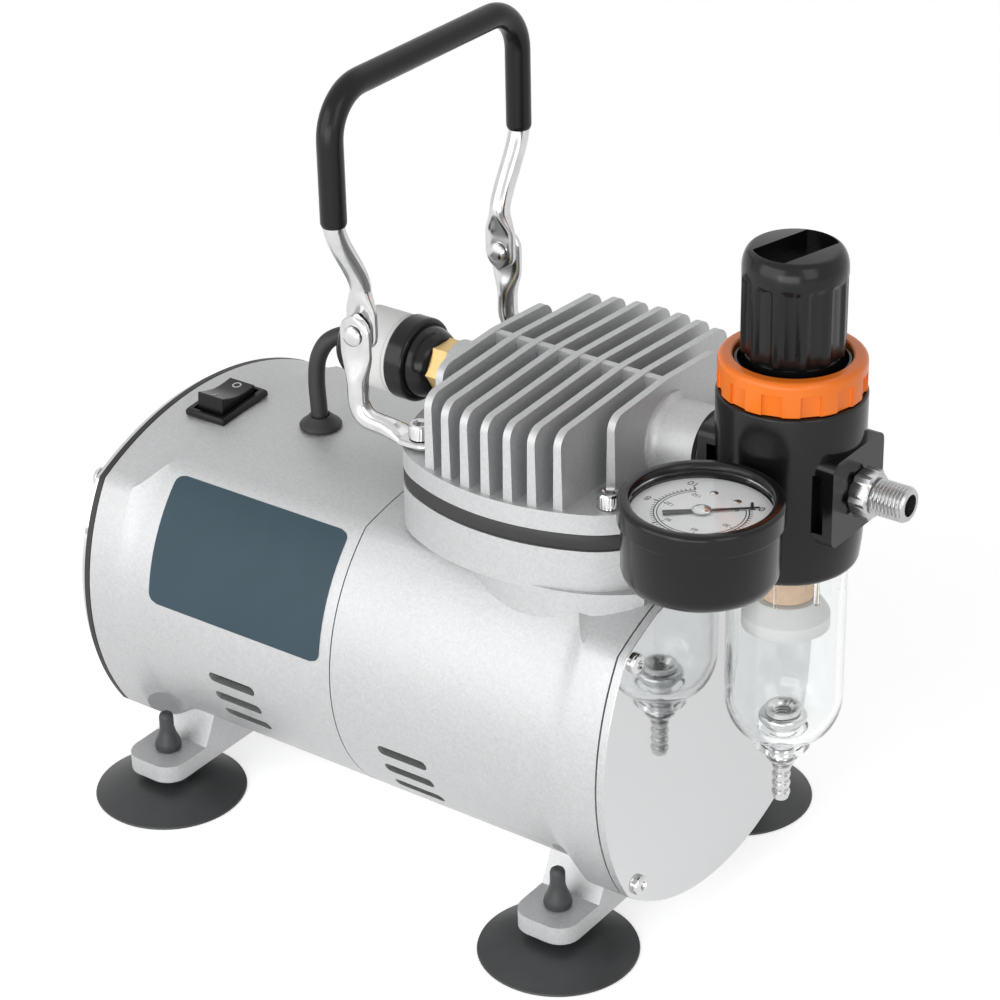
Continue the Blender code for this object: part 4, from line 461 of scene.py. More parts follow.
def stack(levels, closed=False, axis=None, at=(0, 0, 0)):
    """Skin flat outlines stacked along Z, then turn them onto an axis and move them."""
    form = skin([[(u, v, height) for u, v in outline] for outline, height in levels], closed)
    if axis:
        form.transform(axis)
    return moved(form, *at)


def prism(outline, low, high, axis=None, at=(0, 0, 0)):
    return stack([(outline, low), (outline, high)], False, axis, at)


def along_x(outline, *places):
    """Skin a (y, z) outline through places along X."""
    return skin([[(x, y, z) for y, z in outline] for x in places])


def turned(profile, closed=False, axis=None, at=(0, 0, 0), sides=FINE_SIDES):
    return stack([(circle(radius, sides), height) for radius, height in profile], closed, axis, at)


def lathe(name, profile, material, node, at, axis=None, closed=False, sides=FINE_SIDES, **hung):
    """Turn a profile and hang it."""
    return hang(name, turned(profile, closed, axis, at, sides), material, node, **hung)


def spun(name, node, material, low_part, high_part, at, axis=None, **turning):
    """Turn a profile given from the low and the high end of a CAD node, and hang it in the node's place."""
    low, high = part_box(node)
    along = 0 if axis else 2
    profile = points_from(low[along], *low_part) + points_from(high[along], *high_part)
    return lathe(name, profile, material, node, at, axis, **turning)


def moved(form, x=0.0, y=0.0, z=0.0):
    form.transform(Matrix.Translation((x, y, z)))
    return form


def together(forms):
    """Put several forms into one."""
    whole = bmesh.new()
    for form in forms:
        mesh = bpy.data.meshes.new("part")
        form.to_mesh(mesh)
        form.free()
        whole.from_mesh(mesh)
        bpy.data.meshes.remove(mesh)
    return whole


def worked(form, steps):
    """Join forms to a form and cut others out of it, in order, and give back the result."""
    body = loose("solid", form)
    used = [body]
    for operation, tool in steps:
        modifier = body.modifiers.new(operation, "BOOLEAN")
        modifier.operation = operation
        modifier.object = loose("solid", tool)
        modifier.solver = "MANIFOLD"
        used.append(modifier.object)
    bpy.context.view_layer.update()
    result = bmesh.new()
    result.from_object(body, bpy.context.evaluated_depsgraph_get())
    for item in used:
        mesh = item.data
        bpy.data.objects.remove(item)
        bpy.data.meshes.remove(mesh)
    bmesh.ops.remove_doubles(result, verts=result.verts, dist=MERGE_REACH)
    bmesh.ops.dissolve_limit(result, angle_limit=FLAT_ANGLE, verts=result.verts, edges=result.edges)
    return result


print("helpers ready")

# %% [markdown]
# ## Motor castings
#
# Each half of the motor is a loft from a cornered end face to a round barrel. The loft is skinned again
# here with many more points than the CAD has, then the foot lugs and the cylinder deck are joined on and
# the vents cut out.

# %% Outlines made of arcs
AXIS_Z = 66 * MM
HALF_LENGTH = 90 * MM
END_FORM = ((45.5 * MM, 25.5 * MM), (47 * MM, 102.3 * MM), (17 * MM, 11.4 * MM, 12.2 * MM))
BARREL_FORM = ((40 * MM, 27.3 * MM), (38 * MM, 109.4 * MM), (16.3 * MM, 18.2 * MM, 5 * MM))
HOUSING_STEPS = [32, 28, 24, 28]
FLANGE_HALF = 45.4 * MM
FLANGE_SPAN = 28 * MM
FLANGE_BULGE = 66 * MM
FLANGE_STEPS = [24, 12]


def arc_centre(start, end, rise):
    """Centre and radius of an arc that bulges to the right of the way from start to end."""
    chord = Vector(end) - Vector(start)
    half = chord.length / 2
    radius = (half * half + rise * rise) / (2 * rise)
    left = Vector((-chord.y, chord.x)).normalized()
    return Vector(start) + chord / 2 + left * (radius - rise), radius


def arc(start, end, rise, steps):
    """Points on such an arc from its start, without its end."""
    middle, radius = arc_centre(start, end, rise)
    spoke = Vector(start) - middle
    opening = 2 * math.atan2((Vector(end) - Vector(start)).length / 2, radius - rise)
    return [tuple(middle + Matrix.Rotation(opening * i / steps, 2) @ spoke) for i in range(steps)]


def ring_of_arcs(corners, rises, steps):
    points = []
    for index, corner in enumerate(corners):
        points += arc(corner, corners[(index + 1) % len(corners)], rises[index], steps[index])
    return points


def housing_outline(fade, scale=1.0):
    """Cross-section (y, z) of the castings: cornered at the end face, round along the barrel."""
    (low_y, low_z), (high_y, high_z), (bottom, side, roof) = mix(END_FORM, BARREL_FORM, fade)
    corners = [(-low_y, low_z), (low_y, low_z), (high_y, high_z), (-high_y, high_z)]
    points = ring_of_arcs(corners, [bottom, side, roof, side], HOUSING_STEPS)
    return [(y * scale, AXIS_Z + (z - AXIS_Z) * scale) for y, z in points]


def flange_outline(half=FLANGE_HALF):
    """The bulged square of the deck and the head."""
    lean = math.asin(FLANGE_SPAN / FLANGE_BULGE)
    side_rise = FLANGE_BULGE * (1 - math.cos(lean))
    edge = half - side_rise
    cut = edge - FLANGE_SPAN
    corner_rise = math.hypot(cut, cut) / 2 * math.tan((math.radians(45) - lean) / 2)
    corners = []
    for index in range(4):
        turn = Matrix.Rotation(TURN * index / 4, 2)
        corners += [tuple(turn @ Vector((way * FLANGE_SPAN, -edge))) for way in (-1, 1)]
    return ring_of_arcs(corners, [side_rise, corner_rise] * 4, FLANGE_STEPS * 4)


print("points round a casting", len(housing_outline(0)))

# %% Lugs and vents
# Cutting shapes run this far past what they cut.
SPARE = 1 * MM
FOOT_Y = abs(centre("front_near_foot").y)
PAD_BOTTOM = 9.3 * MM
PAD_TOP = 14.8 * MM
PAD_HALF = 9.7 * MM
PAD_REACH = 10.1 * MM
PAD_CORNER = 6.3 * MM
LUG_BACK = 17 * MM
LUG_ROOT = 40.8 * MM
LUG_HEAD = 30 * MM
LUG_TOP = 36 * MM
SCOOP = (7.6 * MM, 11.5 * MM, 15 * MM)
SCOOP_Y = FOOT_Y + 2 * MM
SCOOP_STEPS = 16
VENT_LENGTH = 17 * MM
VENT_HEIGHT = 3.5 * MM
VENT_PITCH = 7.5 * MM
VENT_REACH = 70 * MM
REAR_VENTS = (SPLIT_X - 38.5 * MM, 38.7 * MM)
FRONT_VENTS = (SPLIT_X + 22.5 * MM, 35 * MM)


def foot_lug(foot_x, side):
    """Pad and leaning upright of one foot: a side view cut to the pad's plan."""
    tip = FOOT_Y + PAD_REACH
    view = [(LUG_BACK, PAD_BOTTOM), (tip + SPARE, PAD_BOTTOM), (tip + SPARE, PAD_TOP)]
    view += [(LUG_ROOT, PAD_TOP), (LUG_HEAD, LUG_TOP), (LUG_BACK, LUG_TOP)]
    low, high = foot_x - PAD_HALF, foot_x + PAD_HALF
    block = along_x([(side * y, z) for y, z in view], low - SPARE, high + SPARE)
    near, far = sorted((side * (LUG_BACK - PAD_CORNER), side * tip))
    plan = rounded(oblong(low, near, high, far), PAD_CORNER)
    return worked(block, [("INTERSECT", prism(plan, 0, LUG_TOP + SPARE))])


def scoop(foot_x, side):
    """Room for the nipple, sunk into the upright and the barrel over the pad."""
    wide, deep, tall = SCOOP
    rings = []
    for step in range(1, SCOOP_STEPS):
        angle = math.pi * step / SCOOP_STEPS
        height = PAD_TOP + 0.35 * tall - tall * math.cos(angle)
        height = max(height, PAD_TOP + 0.4 * MM * (1 - 1 / step))
        reach = math.sin(angle)
        ring = [(wide * reach * x, deep * reach * y) for x, y in circle(1, 40)]
        rings.append([(foot_x + x, side * SCOOP_Y + y, height) for x, y in ring])
    return skin(rings)


def vents(x, lowest):
    """Slots with round ends, through both walls."""
    outline = rectangle(VENT_LENGTH / 2, VENT_HEIGHT / 2, 0.46 * VENT_HEIGHT, 6)
    spots = [(x, 0, lowest + VENT_PITCH * index) for index in range(3)]
    return together([prism(outline, -VENT_REACH, VENT_REACH, TO_Y, spot) for spot in spots])


print("feet stand out by", round(FOOT_Y, 4))

# %% Build both castings
FADE_FROM = 10 * MM
FADE_TO = 20 * MM
FADE_STEPS = 12
SPLIT_GAP = 0.2 * MM
INSIDE = 0.95
INSIDE_FROM = 6 * MM
INSIDE_TO = 84 * MM
INSIDE_REACH = 56 * MM
FACES_IN = -0.7
HEAD_X = centre("valve_plate").x
DECK_LOW = 112 * MM
DECK_HIGH = 125 * MM
DECK_BORE = 24 * MM
NECK_RADIUS = 44 * MM
NECK_FORWARD = 11 * MM
NECK_CLIP = 31 * MM
ROOF_HOLE = (100 * MM, 125 * MM)
FRAME_LAP = 1 * MM
LEAD_HOLE = 4.6 * MM
COVER_ROOM = 1.006


def casting_form(end):
    """Outer skin of one half; end is -1 for the rear half and 1 for the front half."""
    fades = [FADE_FROM + (FADE_TO - FADE_FROM) * step / FADE_STEPS for step in range(FADE_STEPS + 1)]
    rings = []
    for distance in [0, *fades, HALF_LENGTH - SPLIT_GAP]:
        x = SPLIT_X + end * (HALF_LENGTH - distance)
        rings.append([(x, y, z) for y, z in housing_outline(ease(distance, FADE_FROM, FADE_TO))])
    return skin(rings)


def faces_axis(middle, normal):
    """Whether a face belongs to the inside of the motor, where the shade is painted."""
    outward = Vector((0, middle.y, middle.z - AXIS_Z))
    return outward.length < INSIDE_REACH and normal.dot(outward.normalized()) < FACES_IN


def build_casting(name, end, node, vent_place, extra):
    foot_x = centre("rear_near_foot" if end < 0 else "front_near_foot").x
    steps = [("DIFFERENCE", together([scoop(foot_x, side) for side in (-1, 1)]))]
    steps += [("UNION", foot_lug(foot_x, side)) for side in (-1, 1)]
    steps += extra
    inner = sorted((SPLIT_X + end * INSIDE_FROM, SPLIT_X + end * INSIDE_TO))
    steps.append(("DIFFERENCE", along_x(housing_outline(1, INSIDE), *inner)))
    steps.append(("DIFFERENCE", vents(*vent_place)))
    piece = hang(name, worked(casting_form(end), steps), casting, node, bevel=0.7 * MM)
    # The inner faces get the painted shade finish, so that the vents look dark inside.
    refinish(piece, painted_shade_casting, faces_axis)
    return piece


low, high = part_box("switch_frame")
hole = oblong(low.x + FRAME_LAP, low.y + FRAME_LAP, high.x - FRAME_LAP, high.y - FRAME_LAP)
switch_hole = prism(hole, *ROOF_HOLE)
grommet = centre("lead_grommet")
lead_hole = turned([(LEAD_HOLE, z) for z in ROOF_HOLE], at=(grommet.x, grommet.y, 0), sides=32)
holes = [("DIFFERENCE", switch_hole), ("DIFFERENCE", lead_hole)]
rear_casting = build_casting("rear_casting", -1, "rear_housing", REAR_VENTS, holes)

neck_outline = [(min(x, NECK_CLIP), y) for x, y in circle(NECK_RADIUS)]
neck = prism(neck_outline, AXIS_Z, DECK_LOW + SPARE, at=(HEAD_X + NECK_FORWARD, 0, 0))
deck = prism(flange_outline(), DECK_LOW, DECK_HIGH, at=(HEAD_X, 0, 0))
bore = turned([(DECK_BORE, AXIS_Z), (DECK_BORE, DECK_HIGH + SPARE)], at=(HEAD_X, 0, 0))
low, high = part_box("front_cover")
cover_room = along_x(housing_outline(0, COVER_ROOM), low.x - 0.2 * MM, high.x + 9 * MM)
deck_steps = [("UNION", neck), ("UNION", deck), ("DIFFERENCE", cover_room), ("DIFFERENCE", bore)]
front_casting = build_casting("front_casting", 1, "front_housing", FRONT_VENTS, deck_steps)
print("castings", len(rear_casting.data.polygons), len(front_casting.data.polygons))

# %% [markdown]
# ## Covers and their screws
#
# The end covers are flat plates cut to the casting's outline. The rear one sits on a black gasket. Each is
# held by four pan-head screws with a cross recess, made once and copied to its four places.

# %% Plates and gasket
REAR_PLATE_SCALE = 0.965


def plate(node, name, material, bevel, scale=1.0):
    low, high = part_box(node)
    return hang(name, along_x(housing_outline(0, scale), low.x, high.x), material, node, bevel=bevel)


front_plate = plate("front_cover", "front_plate", cover_plate, 0.4 * MM)
refinish(front_plate, casting, lambda middle, normal: abs(normal.x) < 0.5)
plate("rear_gasket", "rear_seal", seal_rubber, 0.3 * MM)
plate("rear_cover", "rear_plate", cover_plate, 0.4 * MM, REAR_PLATE_SCALE)
print("faces of the front plate", len(front_plate.data.polygons))

# %% Pan-head screws
PAN_RADIUS = 2.9 * MM
PAN_HEIGHT = 2 * MM
CROSS_WIDTH = 0.75 * MM
CROSS_REACH = 1.7 * MM


def pan_head():
    """A domed head along +Z with a cross recess, and a short shank."""
    profile = [(1.5 * MM, -8 * MM), (1.5 * MM, 0), (PAN_RADIUS, 0)]
    profile += quarter(PAN_RADIUS, 0, 0.4 * PAN_HEIGHT, 0, 7, 0.6 * PAN_HEIGHT)[:-1]
    cuts = []
    for width, reach in ((CROSS_WIDTH, CROSS_REACH), (CROSS_REACH, CROSS_WIDTH)):
        mouth = oblong(-width, -reach, width, reach)
        narrow = [(0.5 * x, 0.5 * y) for x, y in mouth]
        cuts.append(("DIFFERENCE", stack([(narrow, 0.3 * PAN_HEIGHT), (mouth, 1.2 * PAN_HEIGHT)])))
    return worked(turned(profile, sides=40), cuts)


pan = pan_head()
for end, way, face in (("front", 1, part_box("front_cover")[1].x), ("rear", -1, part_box("rear_cover")[0].x)):
    for number in range(1, 5):
        node = f"{end}_cover_screw_{number}"
        spot = centre(node)
        form = pan.copy()
        form.transform(Matrix.Rotation(0.4 * number, 4, "Z"))
        form.transform(Matrix.Rotation(math.radians(90 * way), 4, "Y"))
        hang(node + "_fine", moved(form, face, spot.y, spot.z), bright, node, bevel=0.12 * MM)
pan.free()
print("cover screws placed")

# %% [markdown]
# ## Suction feet
#
# Each foot is a rubber cup moulded in one with a nipple that is pulled up through the lug. Its profile is a
# shallow dome with a thin lip, turned about the foot's own axis.

# %% Turn the feet
DOME_STEPS = 14
DOME_RISE = 5.5 * MM
LIP = 0.9 * MM


def foot_profile():
    under = points_from(0, (1, 3.4), (10, 2.6), (18, 1), (21.4, 0), (22.6, 0), (23, 0.4))
    dome = []
    for step in range(DOME_STEPS + 1):
        share = step / DOME_STEPS
        height = LIP + DOME_RISE * math.sin(share * math.radians(80))
        dome.append((mix(22.8 * MM, 7.2 * MM, share), height))
    bead = points_from(0, (7.3, 6.7), (8.1, 7.2), (8.1, 8.3), (7.4, 8.9))
    nipple = points_from(0, (2.6, 9), (2.6, 15), (3.9, 15.1), (4.1, 16.2), (3.8, 17.6), (2.7, 20.2))
    tip = points_from(0, (2.2, 22.2), (2.2, 25.8), (1.9, 26.7), (1.1, 27.3))
    return under + dome + bead + nipple + tip


for node in ("rear_near_foot", "rear_far_foot", "front_near_foot", "front_far_foot"):
    spot = centre(node)
    lathe(node + "_cup", foot_profile(), cup_rubber, node, (spot.x, spot.y, 0), sides=72)
print("feet turned")

# %% [markdown]
# ## Finned head
#
# The head is a flat flange with upright fins, a rib across them and a boss for each port. The fins follow
# the flange's bulge, and their upper corners are rounded as the mould's are.

# %% Cast the head
HEAD_LOW, HEAD_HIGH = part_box("cylinder_head")
FLANGE_TOP = HEAD_LOW.z + 6 * MM
FIN_TOP = HEAD_HIGH.z
FIN_ROOT = FLANGE_TOP - 1 * MM
FIN_PITCH = 7 * MM
FINS_EACH_WAY = 4
FIN_THICK = 2.5 * MM
FIN_CORNER = 4.5 * MM
FIN_CROWN = 2 * MM
FIN_INSET = 1.5 * MM
END_FIN_HALF = 26 * MM
RIB_HALF = 1.1 * MM
PORT_Z = 143.7 * MM
PORT = (0, 0, PORT_Z)


def fin_outline(half):
    """Side view of a fin as (y, z)."""
    shoulder = FIN_TOP - FIN_CROWN * half / FLANGE_HALF
    side = quarter(FIN_CORNER, half - FIN_CORNER, shoulder - FIN_CORNER, 0, 8)
    far_side = [(-y, z) for y, z in reversed(side)]
    return [(-half, FIN_ROOT), (half, FIN_ROOT), *side, (0, FIN_TOP), *far_side]


def fin(index):
    """One fin, thinned towards its top, as the draft of a mould does."""
    offset = FIN_PITCH * index
    edge = FLANGE_HALF - FLANGE_BULGE + math.sqrt(FLANGE_BULGE ** 2 - offset ** 2) - FIN_INSET
    half = END_FIN_HALF if abs(index) == FINS_EACH_WAY else edge
    middle = HEAD_X + offset
    form = along_x(fin_outline(half), middle - FIN_THICK / 2, middle + FIN_THICK / 2)
    for vert in form.verts:
        share = (vert.co.z - FLANGE_TOP) / (FIN_TOP - FLANGE_TOP)
        vert.co.x = middle + (vert.co.x - middle) * mix(1.2, 0.88, share)
    return form


def head_form():
    flange = prism(flange_outline(), HEAD_LOW.z, FLANGE_TOP, at=(HEAD_X, 0, 0))
    rib = oblong(-RIB_HALF, FIN_ROOT, RIB_HALF, FIN_TOP - 0.4 * MM)
    back_face = HEAD_X - FINS_EACH_WAY * FIN_PITCH
    front_face = HEAD_X + FINS_EACH_WAY * FIN_PITCH
    fins = [fin(index) for index in range(-FINS_EACH_WAY, FINS_EACH_WAY + 1)]
    front = points_from(front_face, (12, 0), (12, 2), (11.3, 2.6), (10.8, 4.5), (10.5, 15))
    rear = points_from(back_face, (9, -12.8), (9, 0))
    spot_face = points_from(front_face, (11.8, 15), (11.8, 24))
    steps = [
        ("UNION", together(fins)),
        ("UNION", along_x(rib, back_face, front_face)),
        ("UNION", turned(front, axis=TO_X, at=PORT)),
        ("UNION", turned(rear, axis=TO_X, at=PORT)),
        ("DIFFERENCE", turned(spot_face, axis=TO_X, at=PORT)),
    ]
    return worked(flange, steps)


finned_head = hang("finned_head", head_form(), casting, "cylinder_head", bevel=0.55 * MM)
print("faces of the head", len(finned_head.data.polygons))

# %% Diaphragm rim and head screws
rim_low, rim_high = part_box("diaphragm")
RIM_TOP = rim_high.z
RIM_BOTTOM = RIM_TOP - 4.4 * MM
RIM_SIDES = len(flange_outline())
RIM_START = Matrix.Rotation(math.atan2(-39, -28), 2)
KNURL = 0.12 * MM


def rim_ring(radius):
    """A circle whose first point lies under the first point of the flange."""
    return [tuple(RIM_START @ Vector(point)) for point in circle(radius, RIM_SIDES)]


def knurled(radius, sides):
    return around([radius - KNURL * (index % 4 in (1, 2)) for index in range(sides)])


edge = points_from(0, (45, 0), (45.3, -0.6), (45.3, -3.8), (45, -4.4))
levels = [(flange_outline(half), RIM_TOP + ahead) for half, ahead in edge]
dish = points_from(RIM_BOTTOM, (23, 0)) + points_from(rim_low.z, (21, 0), (3.3, 0), (3.3, 2), (20, 2))
levels += [(rim_ring(radius), z) for radius, z in [*dish, (22 * MM, RIM_TOP)]]
hang("diaphragm_sheet", stack(levels, True, at=(HEAD_X, 0, 0)), seal_rubber, "diaphragm")

for number in range(1, 5):
    node = f"head_screw_{number}"
    spot = centre(node)
    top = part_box(node)[1].z
    levels = levels_from(top, (circle, 2, -20), (circle, 2, -4), (circle, 3.3, -4), (knurled, 3.3, -3.7))
    levels += levels_from(top, (knurled, 3.3, -0.7), (circle, 3.2, -0.55), (circle, 2.8, 0))
    levels += levels_from(top, (circle, 2.1, 0), (hexagon, 3, -0.5), (hexagon, 3, -2))
    hang(node + "_cap", stack(levels, at=(spot.x, spot.y, 0)), bright, node)
print("head screws placed")

# %% [markdown]
# ## Handle and brackets
#
# The handle is a bent steel rod whose ends are hammered flat and drilled for a pivot. A bar helper skins it
# through many stations, each with a place and two half sizes, so that round can turn into flat.

# %% Bars that change section along their length
PIVOT = joint_place("handle_fold")
EAR_Y = 35 * MM
TAB_Y = 32 * MM
GRIP_Y = 42 * MM
ROD = 3 * MM
EAR = (1.3 * MM, 5 * MM)
EYE = (4.4 * MM, 1.2 * MM)
EAR_END = 5.5 * MM
FLAT_POWER = 0.45
SCREW_SPOT = centre("head_screw_1")
EYE_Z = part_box("near_bracket")[0].z + EYE[1]


def bar(stations, across, sides=24):
    """Skin a bar through (point, half width along across, half depth) stations."""
    last = len(stations) - 1
    path = [Vector(point) for point, _, _ in stations]
    rings = []
    for index, (_, half_wide, half_deep) in enumerate(stations):
        ahead = path[min(index + 1, last)] - path[max(index - 1, 0)]
        depth = ahead.cross(across).normalized()
        flatness = min(half_wide, half_deep) / max(half_wide, half_deep)
        power = mix(FLAT_POWER, 1, flatness)
        ring = []
        for u, v in circle(1, sides):
            wide = math.copysign(abs(u) ** power, u)
            deep = math.copysign(abs(v) ** power, v)
            ring.append(path[index] + across * half_wide * wide + depth * half_deep * deep)
        rings.append(ring)
    return skin(rings)


def round_end(distance, radius):
    """Share of the full width at a distance from the end of a rounded tab."""
    back = max(radius - distance, 0) / radius
    return math.sqrt(max(1 - back * back, 0.04))


print("handle pivots at", [round(c, 4) for c in PIVOT])

# %% Brackets and pivot bolts
BRACKET_BEND = 7 * MM
RIVET = [(1.4, 0.6), (2.5, 0.9), (2.9, 1.3), (2.9, 1.8), (2, 1.8)]


def bracket_path():
    """Centre line (x, z) of a bracket, from the eye under the screw up to the ear."""
    corner = Vector((PIVOT.x, EYE_Z + 5.2 * MM))
    foot = Vector((SCREW_SPOT.x - 6 * MM, EYE_Z))
    slope = (foot - corner).normalized()
    opening = slope.angle(Vector((0, 1)))
    bend_from = corner + slope * (BRACKET_BEND / math.tan(opening / 2))
    middle = corner + (slope + Vector((0, 1))).normalized() * BRACKET_BEND / math.sin(opening / 2)
    points = [Vector((SCREW_SPOT.x + EAR_END - step * 0.4 * MM, EYE_Z)) for step in range(27)]
    points += [mix(foot, bend_from, step / 6) for step in range(1, 6)]
    for step in range(11):
        turn = Matrix.Rotation(-(math.pi - opening) * step / 10, 2)
        points.append(middle + turn @ (bend_from - middle))
    low = points[-1].y
    top = PIVOT.z + EAR_END
    points += [Vector((PIVOT.x, low + (top - low) * step / 40)) for step in range(1, 41)]
    return points


def bracket_stations(side):
    stations = []
    for x, z in bracket_path():
        to_rod = ease(SCREW_SPOT.x - x, 3.5 * MM, 11 * MM)
        to_ear = ease(z, PIVOT.z - 15 * MM, PIVOT.z - 5 * MM)
        wide, deep = mix(mix(EYE, (ROD, ROD), to_rod), EAR, to_ear)
        wide *= round_end(SCREW_SPOT.x + EAR_END - x, EYE[0]) if z < EYE_Z + ROD else 1
        deep *= round_end(PIVOT.z + EAR_END - z, EAR[1]) if z > PIVOT.z else 1
        y = side * mix(abs(SCREW_SPOT.y), EAR_Y, ease(SCREW_SPOT.x - x, 6 * MM, 17 * MM))
        stations.append(((x, y, z), wide, deep))
    return stations


for flank, side in (("near", -1), ("far", 1)):
    form = bar(bracket_stations(side), Vector((0, 1, 0)))
    hang(f"{flank}_bracket_rod", form, bright, f"{flank}_bracket")
    low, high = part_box(f"{flank}_pivot_bolt")
    inner, outer = sorted((abs(low.y), abs(high.y)))
    profile = points_from(inner, *RIVET)
    profile += points_from(outer, *[(radius, -depth) for radius, depth in reversed(RIVET)])
    form = turned(profile, axis=TO_Y, sides=40)
    if side < 0:
        form.transform(Matrix.Rotation(math.pi, 4, "Z"))
    hang(f"{flank}_rivet", moved(form, *PIVOT), bright, f"{flank}_pivot_bolt")
print("brackets bent")

# %% Handle rod and grip
HANDLE_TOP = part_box("handle_frame")[1].z - ROD
HANDLE_BEND = 13 * MM
LEG_STEPS = 90
JOGGLE = (179.5 * MM, 200 * MM)
GRIP_FROM = 200.8 * MM
GRIP_MOUTH = (GRIP_FROM - 0.2 * MM, GRIP_FROM + 1.2 * MM)
GRIP_RADIUS = 3.64 * MM


def set_out(z):
    """How far a leg has leant out at a height: a straight lean with eased ends."""
    straight = min(max((z - JOGGLE[0]) / (JOGGLE[1] - JOGGLE[0]), 0), 1)
    return (straight + ease(z, *JOGGLE)) / 2


def bail(low):
    """Centre line from the near leg over the top to the far leg."""
    corner = HANDLE_TOP - HANDLE_BEND
    heights = [low + (corner - low) * step / LEG_STEPS for step in range(LEG_STEPS)]
    near = [(PIVOT.x, -mix(TAB_Y, GRIP_Y, set_out(z)), z) for z in heights]
    near += [(PIVOT.x, -y, z) for y, z in quarter(HANDLE_BEND, GRIP_Y - HANDLE_BEND, corner, 0, 12)]
    return near + [(x, -y, z) for x, y, z in reversed(near)]


stations = []
for x, y, z in bail(PIVOT.z - EAR_END):
    to_rod = ease(z, PIVOT.z + 5 * MM, PIVOT.z + 13 * MM)
    end_share = round_end(z - PIVOT.z + EAR_END, EAR[1]) if z < PIVOT.z else 1
    stations.append(((x, y, z), mix(EAR[1], ROD, to_rod) * end_share, mix(EAR[0], ROD, to_rod)))
hang("handle_rod", bar(stations, Vector((1, 0, 0))), bright, "handle_frame", "handle")

sleeve = []
for point in bail(GRIP_FROM):
    radius = mix(ROD + 0.15 * MM, GRIP_RADIUS, math.sqrt(ease(point[2], *GRIP_MOUTH)))
    sleeve.append((point, radius, radius))
form = bar(sleeve, Vector((1, 0, 0)), 32)
hang("dipped_grip", form, satin_black, "handle_grip", "handle", slot="rubber")
print("handle bent, top at", round(HANDLE_TOP, 4))

# %% [markdown]
# ## Switch, lead and pressure switch
#
# The rocker switch snaps into the sloping roof. Behind it a short lead rises out of a rubber grommet and
# bends over into the pressure switch, which screws into the head on a brass fitting.

# %% Rocker switch
SWITCH_SPOT = joint_place("switch_rock")
SWITCH_TILT = Matrix.Rotation(math.radians(5), 4, "X")
ROCKER_TILT = Matrix.Rotation(math.radians(-5), 4, "X")
ROCKER_HALF = 7.4 * MM
ROCKER_WIDE = 4.8 * MM
ROCKER_BOTTOM = -3 * MM
ROCKER_LOW = 2.2 * MM
ROCKER_RISE = 1.2 * MM
ROCKER_POWER = 1.6
MARK_Y = 4.8 * MM
MARK_HIGH = 0.06 * MM
BEZEL = [
    (6, 9.2, 0.4, -12), (6, 9.2, 0.4, -2.1), (7.5, 10.5, 0.7, -2.1), (7.5, 10.5, 0.7, -0.7),
    (6.9, 9.9, 0.6, 0), (5.4, 8.8, 0.4, 0), (5.4, 8.8, 0.4, -5),
]


def set_on_roof(form, tilt):
    form.transform(Matrix.Translation(SWITCH_SPOT) @ tilt)
    return form


def rocker_height(share):
    """Height of the rocker's hollow top at a share of its half length."""
    return ROCKER_LOW + ROCKER_RISE * abs(share) ** ROCKER_POWER


def on_rocker(form, y):
    """Lay a mark on the rocker's sloping top at y."""
    share = abs(y) / ROCKER_HALF
    slope = ROCKER_POWER * ROCKER_RISE / ROCKER_HALF * share ** (ROCKER_POWER - 1)
    lean = math.copysign(math.atan(slope), y)
    place = Matrix.Translation((0, y, rocker_height(share) + 0.05 * MM))
    form.transform(place @ Matrix.Rotation(lean, 4, "X"))
    return set_on_roof(form, ROCKER_TILT)


levels = [(rectangle(wide * MM, long * MM, corner * MM), z * MM) for wide, long, corner, z in BEZEL]
hang("switch_bezel", set_on_roof(stack(levels), SWITCH_TILT), satin_black, "switch_frame", bevel=0.2 * MM)
shares = [1 - step / 6 for step in range(13)]
profile = [(-ROCKER_HALF, ROCKER_BOTTOM), (ROCKER_HALF, ROCKER_BOTTOM)]
profile += [(ROCKER_HALF * share, rocker_height(share)) for share in shares]
rocker = set_on_roof(along_x(profile, -ROCKER_WIDE, ROCKER_WIDE), ROCKER_TILT)
hang("rocker_key", rocker, satin_black, "switch_rocker", "rocker", 0.35 * MM)
ring = turned([(1 * MM, 0), (1.4 * MM, 0), (1.4 * MM, MARK_HIGH), (1 * MM, MARK_HIGH)], closed=True, sides=32)
hang("off_mark", on_rocker(ring, MARK_Y), white, body="rocker")
dash = prism(rectangle(0.2 * MM, 1.3 * MM, 0.1 * MM), 0, MARK_HIGH)
hang("on_mark", on_rocker(dash, -MARK_Y), white, body="rocker")
print("switch at", [round(c, 4) for c in SWITCH_SPOT])

# %% Grommet and lead
LEAD_RADIUS = 2.5 * MM
LEAD_ROUTE = [(-43, -4, 113), (-43.4, -4, 121), (-43.8, -3.9, 129), (-43.2, -3.4, 136), (-40.6, -2.2, 141.4)]
LEAD_POINTS = 40


def eased(values, count):
    """Points on a smooth curve through a list of vectors."""
    held = [2 * values[0] - values[1], *values, 2 * values[-1] - values[-2]]
    spans = len(values) - 1
    result = []
    for index in range(count):
        spot = index * spans / (count - 1)
        span = min(int(spot), spans - 1)
        t = spot - span
        a, b, c, d = held[span:span + 4]
        bend = (2 * a - 5 * b + 4 * c - d) * t ** 2
        twist = (3 * b - a - 3 * c + d) * t ** 3
        result.append(0.5 * (2 * b + (c - a) * t + bend + twist))
    return result


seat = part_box("lead_grommet")[1].z - 3.4 * MM
profile = points_from(seat, (4.2, -5), (4.2, 0), (6.2, 0), (6.3, 0.6), (5.9, 1.2))
profile += points_from(seat, (5, 1.9), (4, 2.7), (3.4, 3.4), (2.7, 3.4), (2.7, -5))
spot = (grommet.x, grommet.y, 0)
lathe("grommet_ring", profile, seal_rubber, "lead_grommet", spot, closed=True, sides=48)

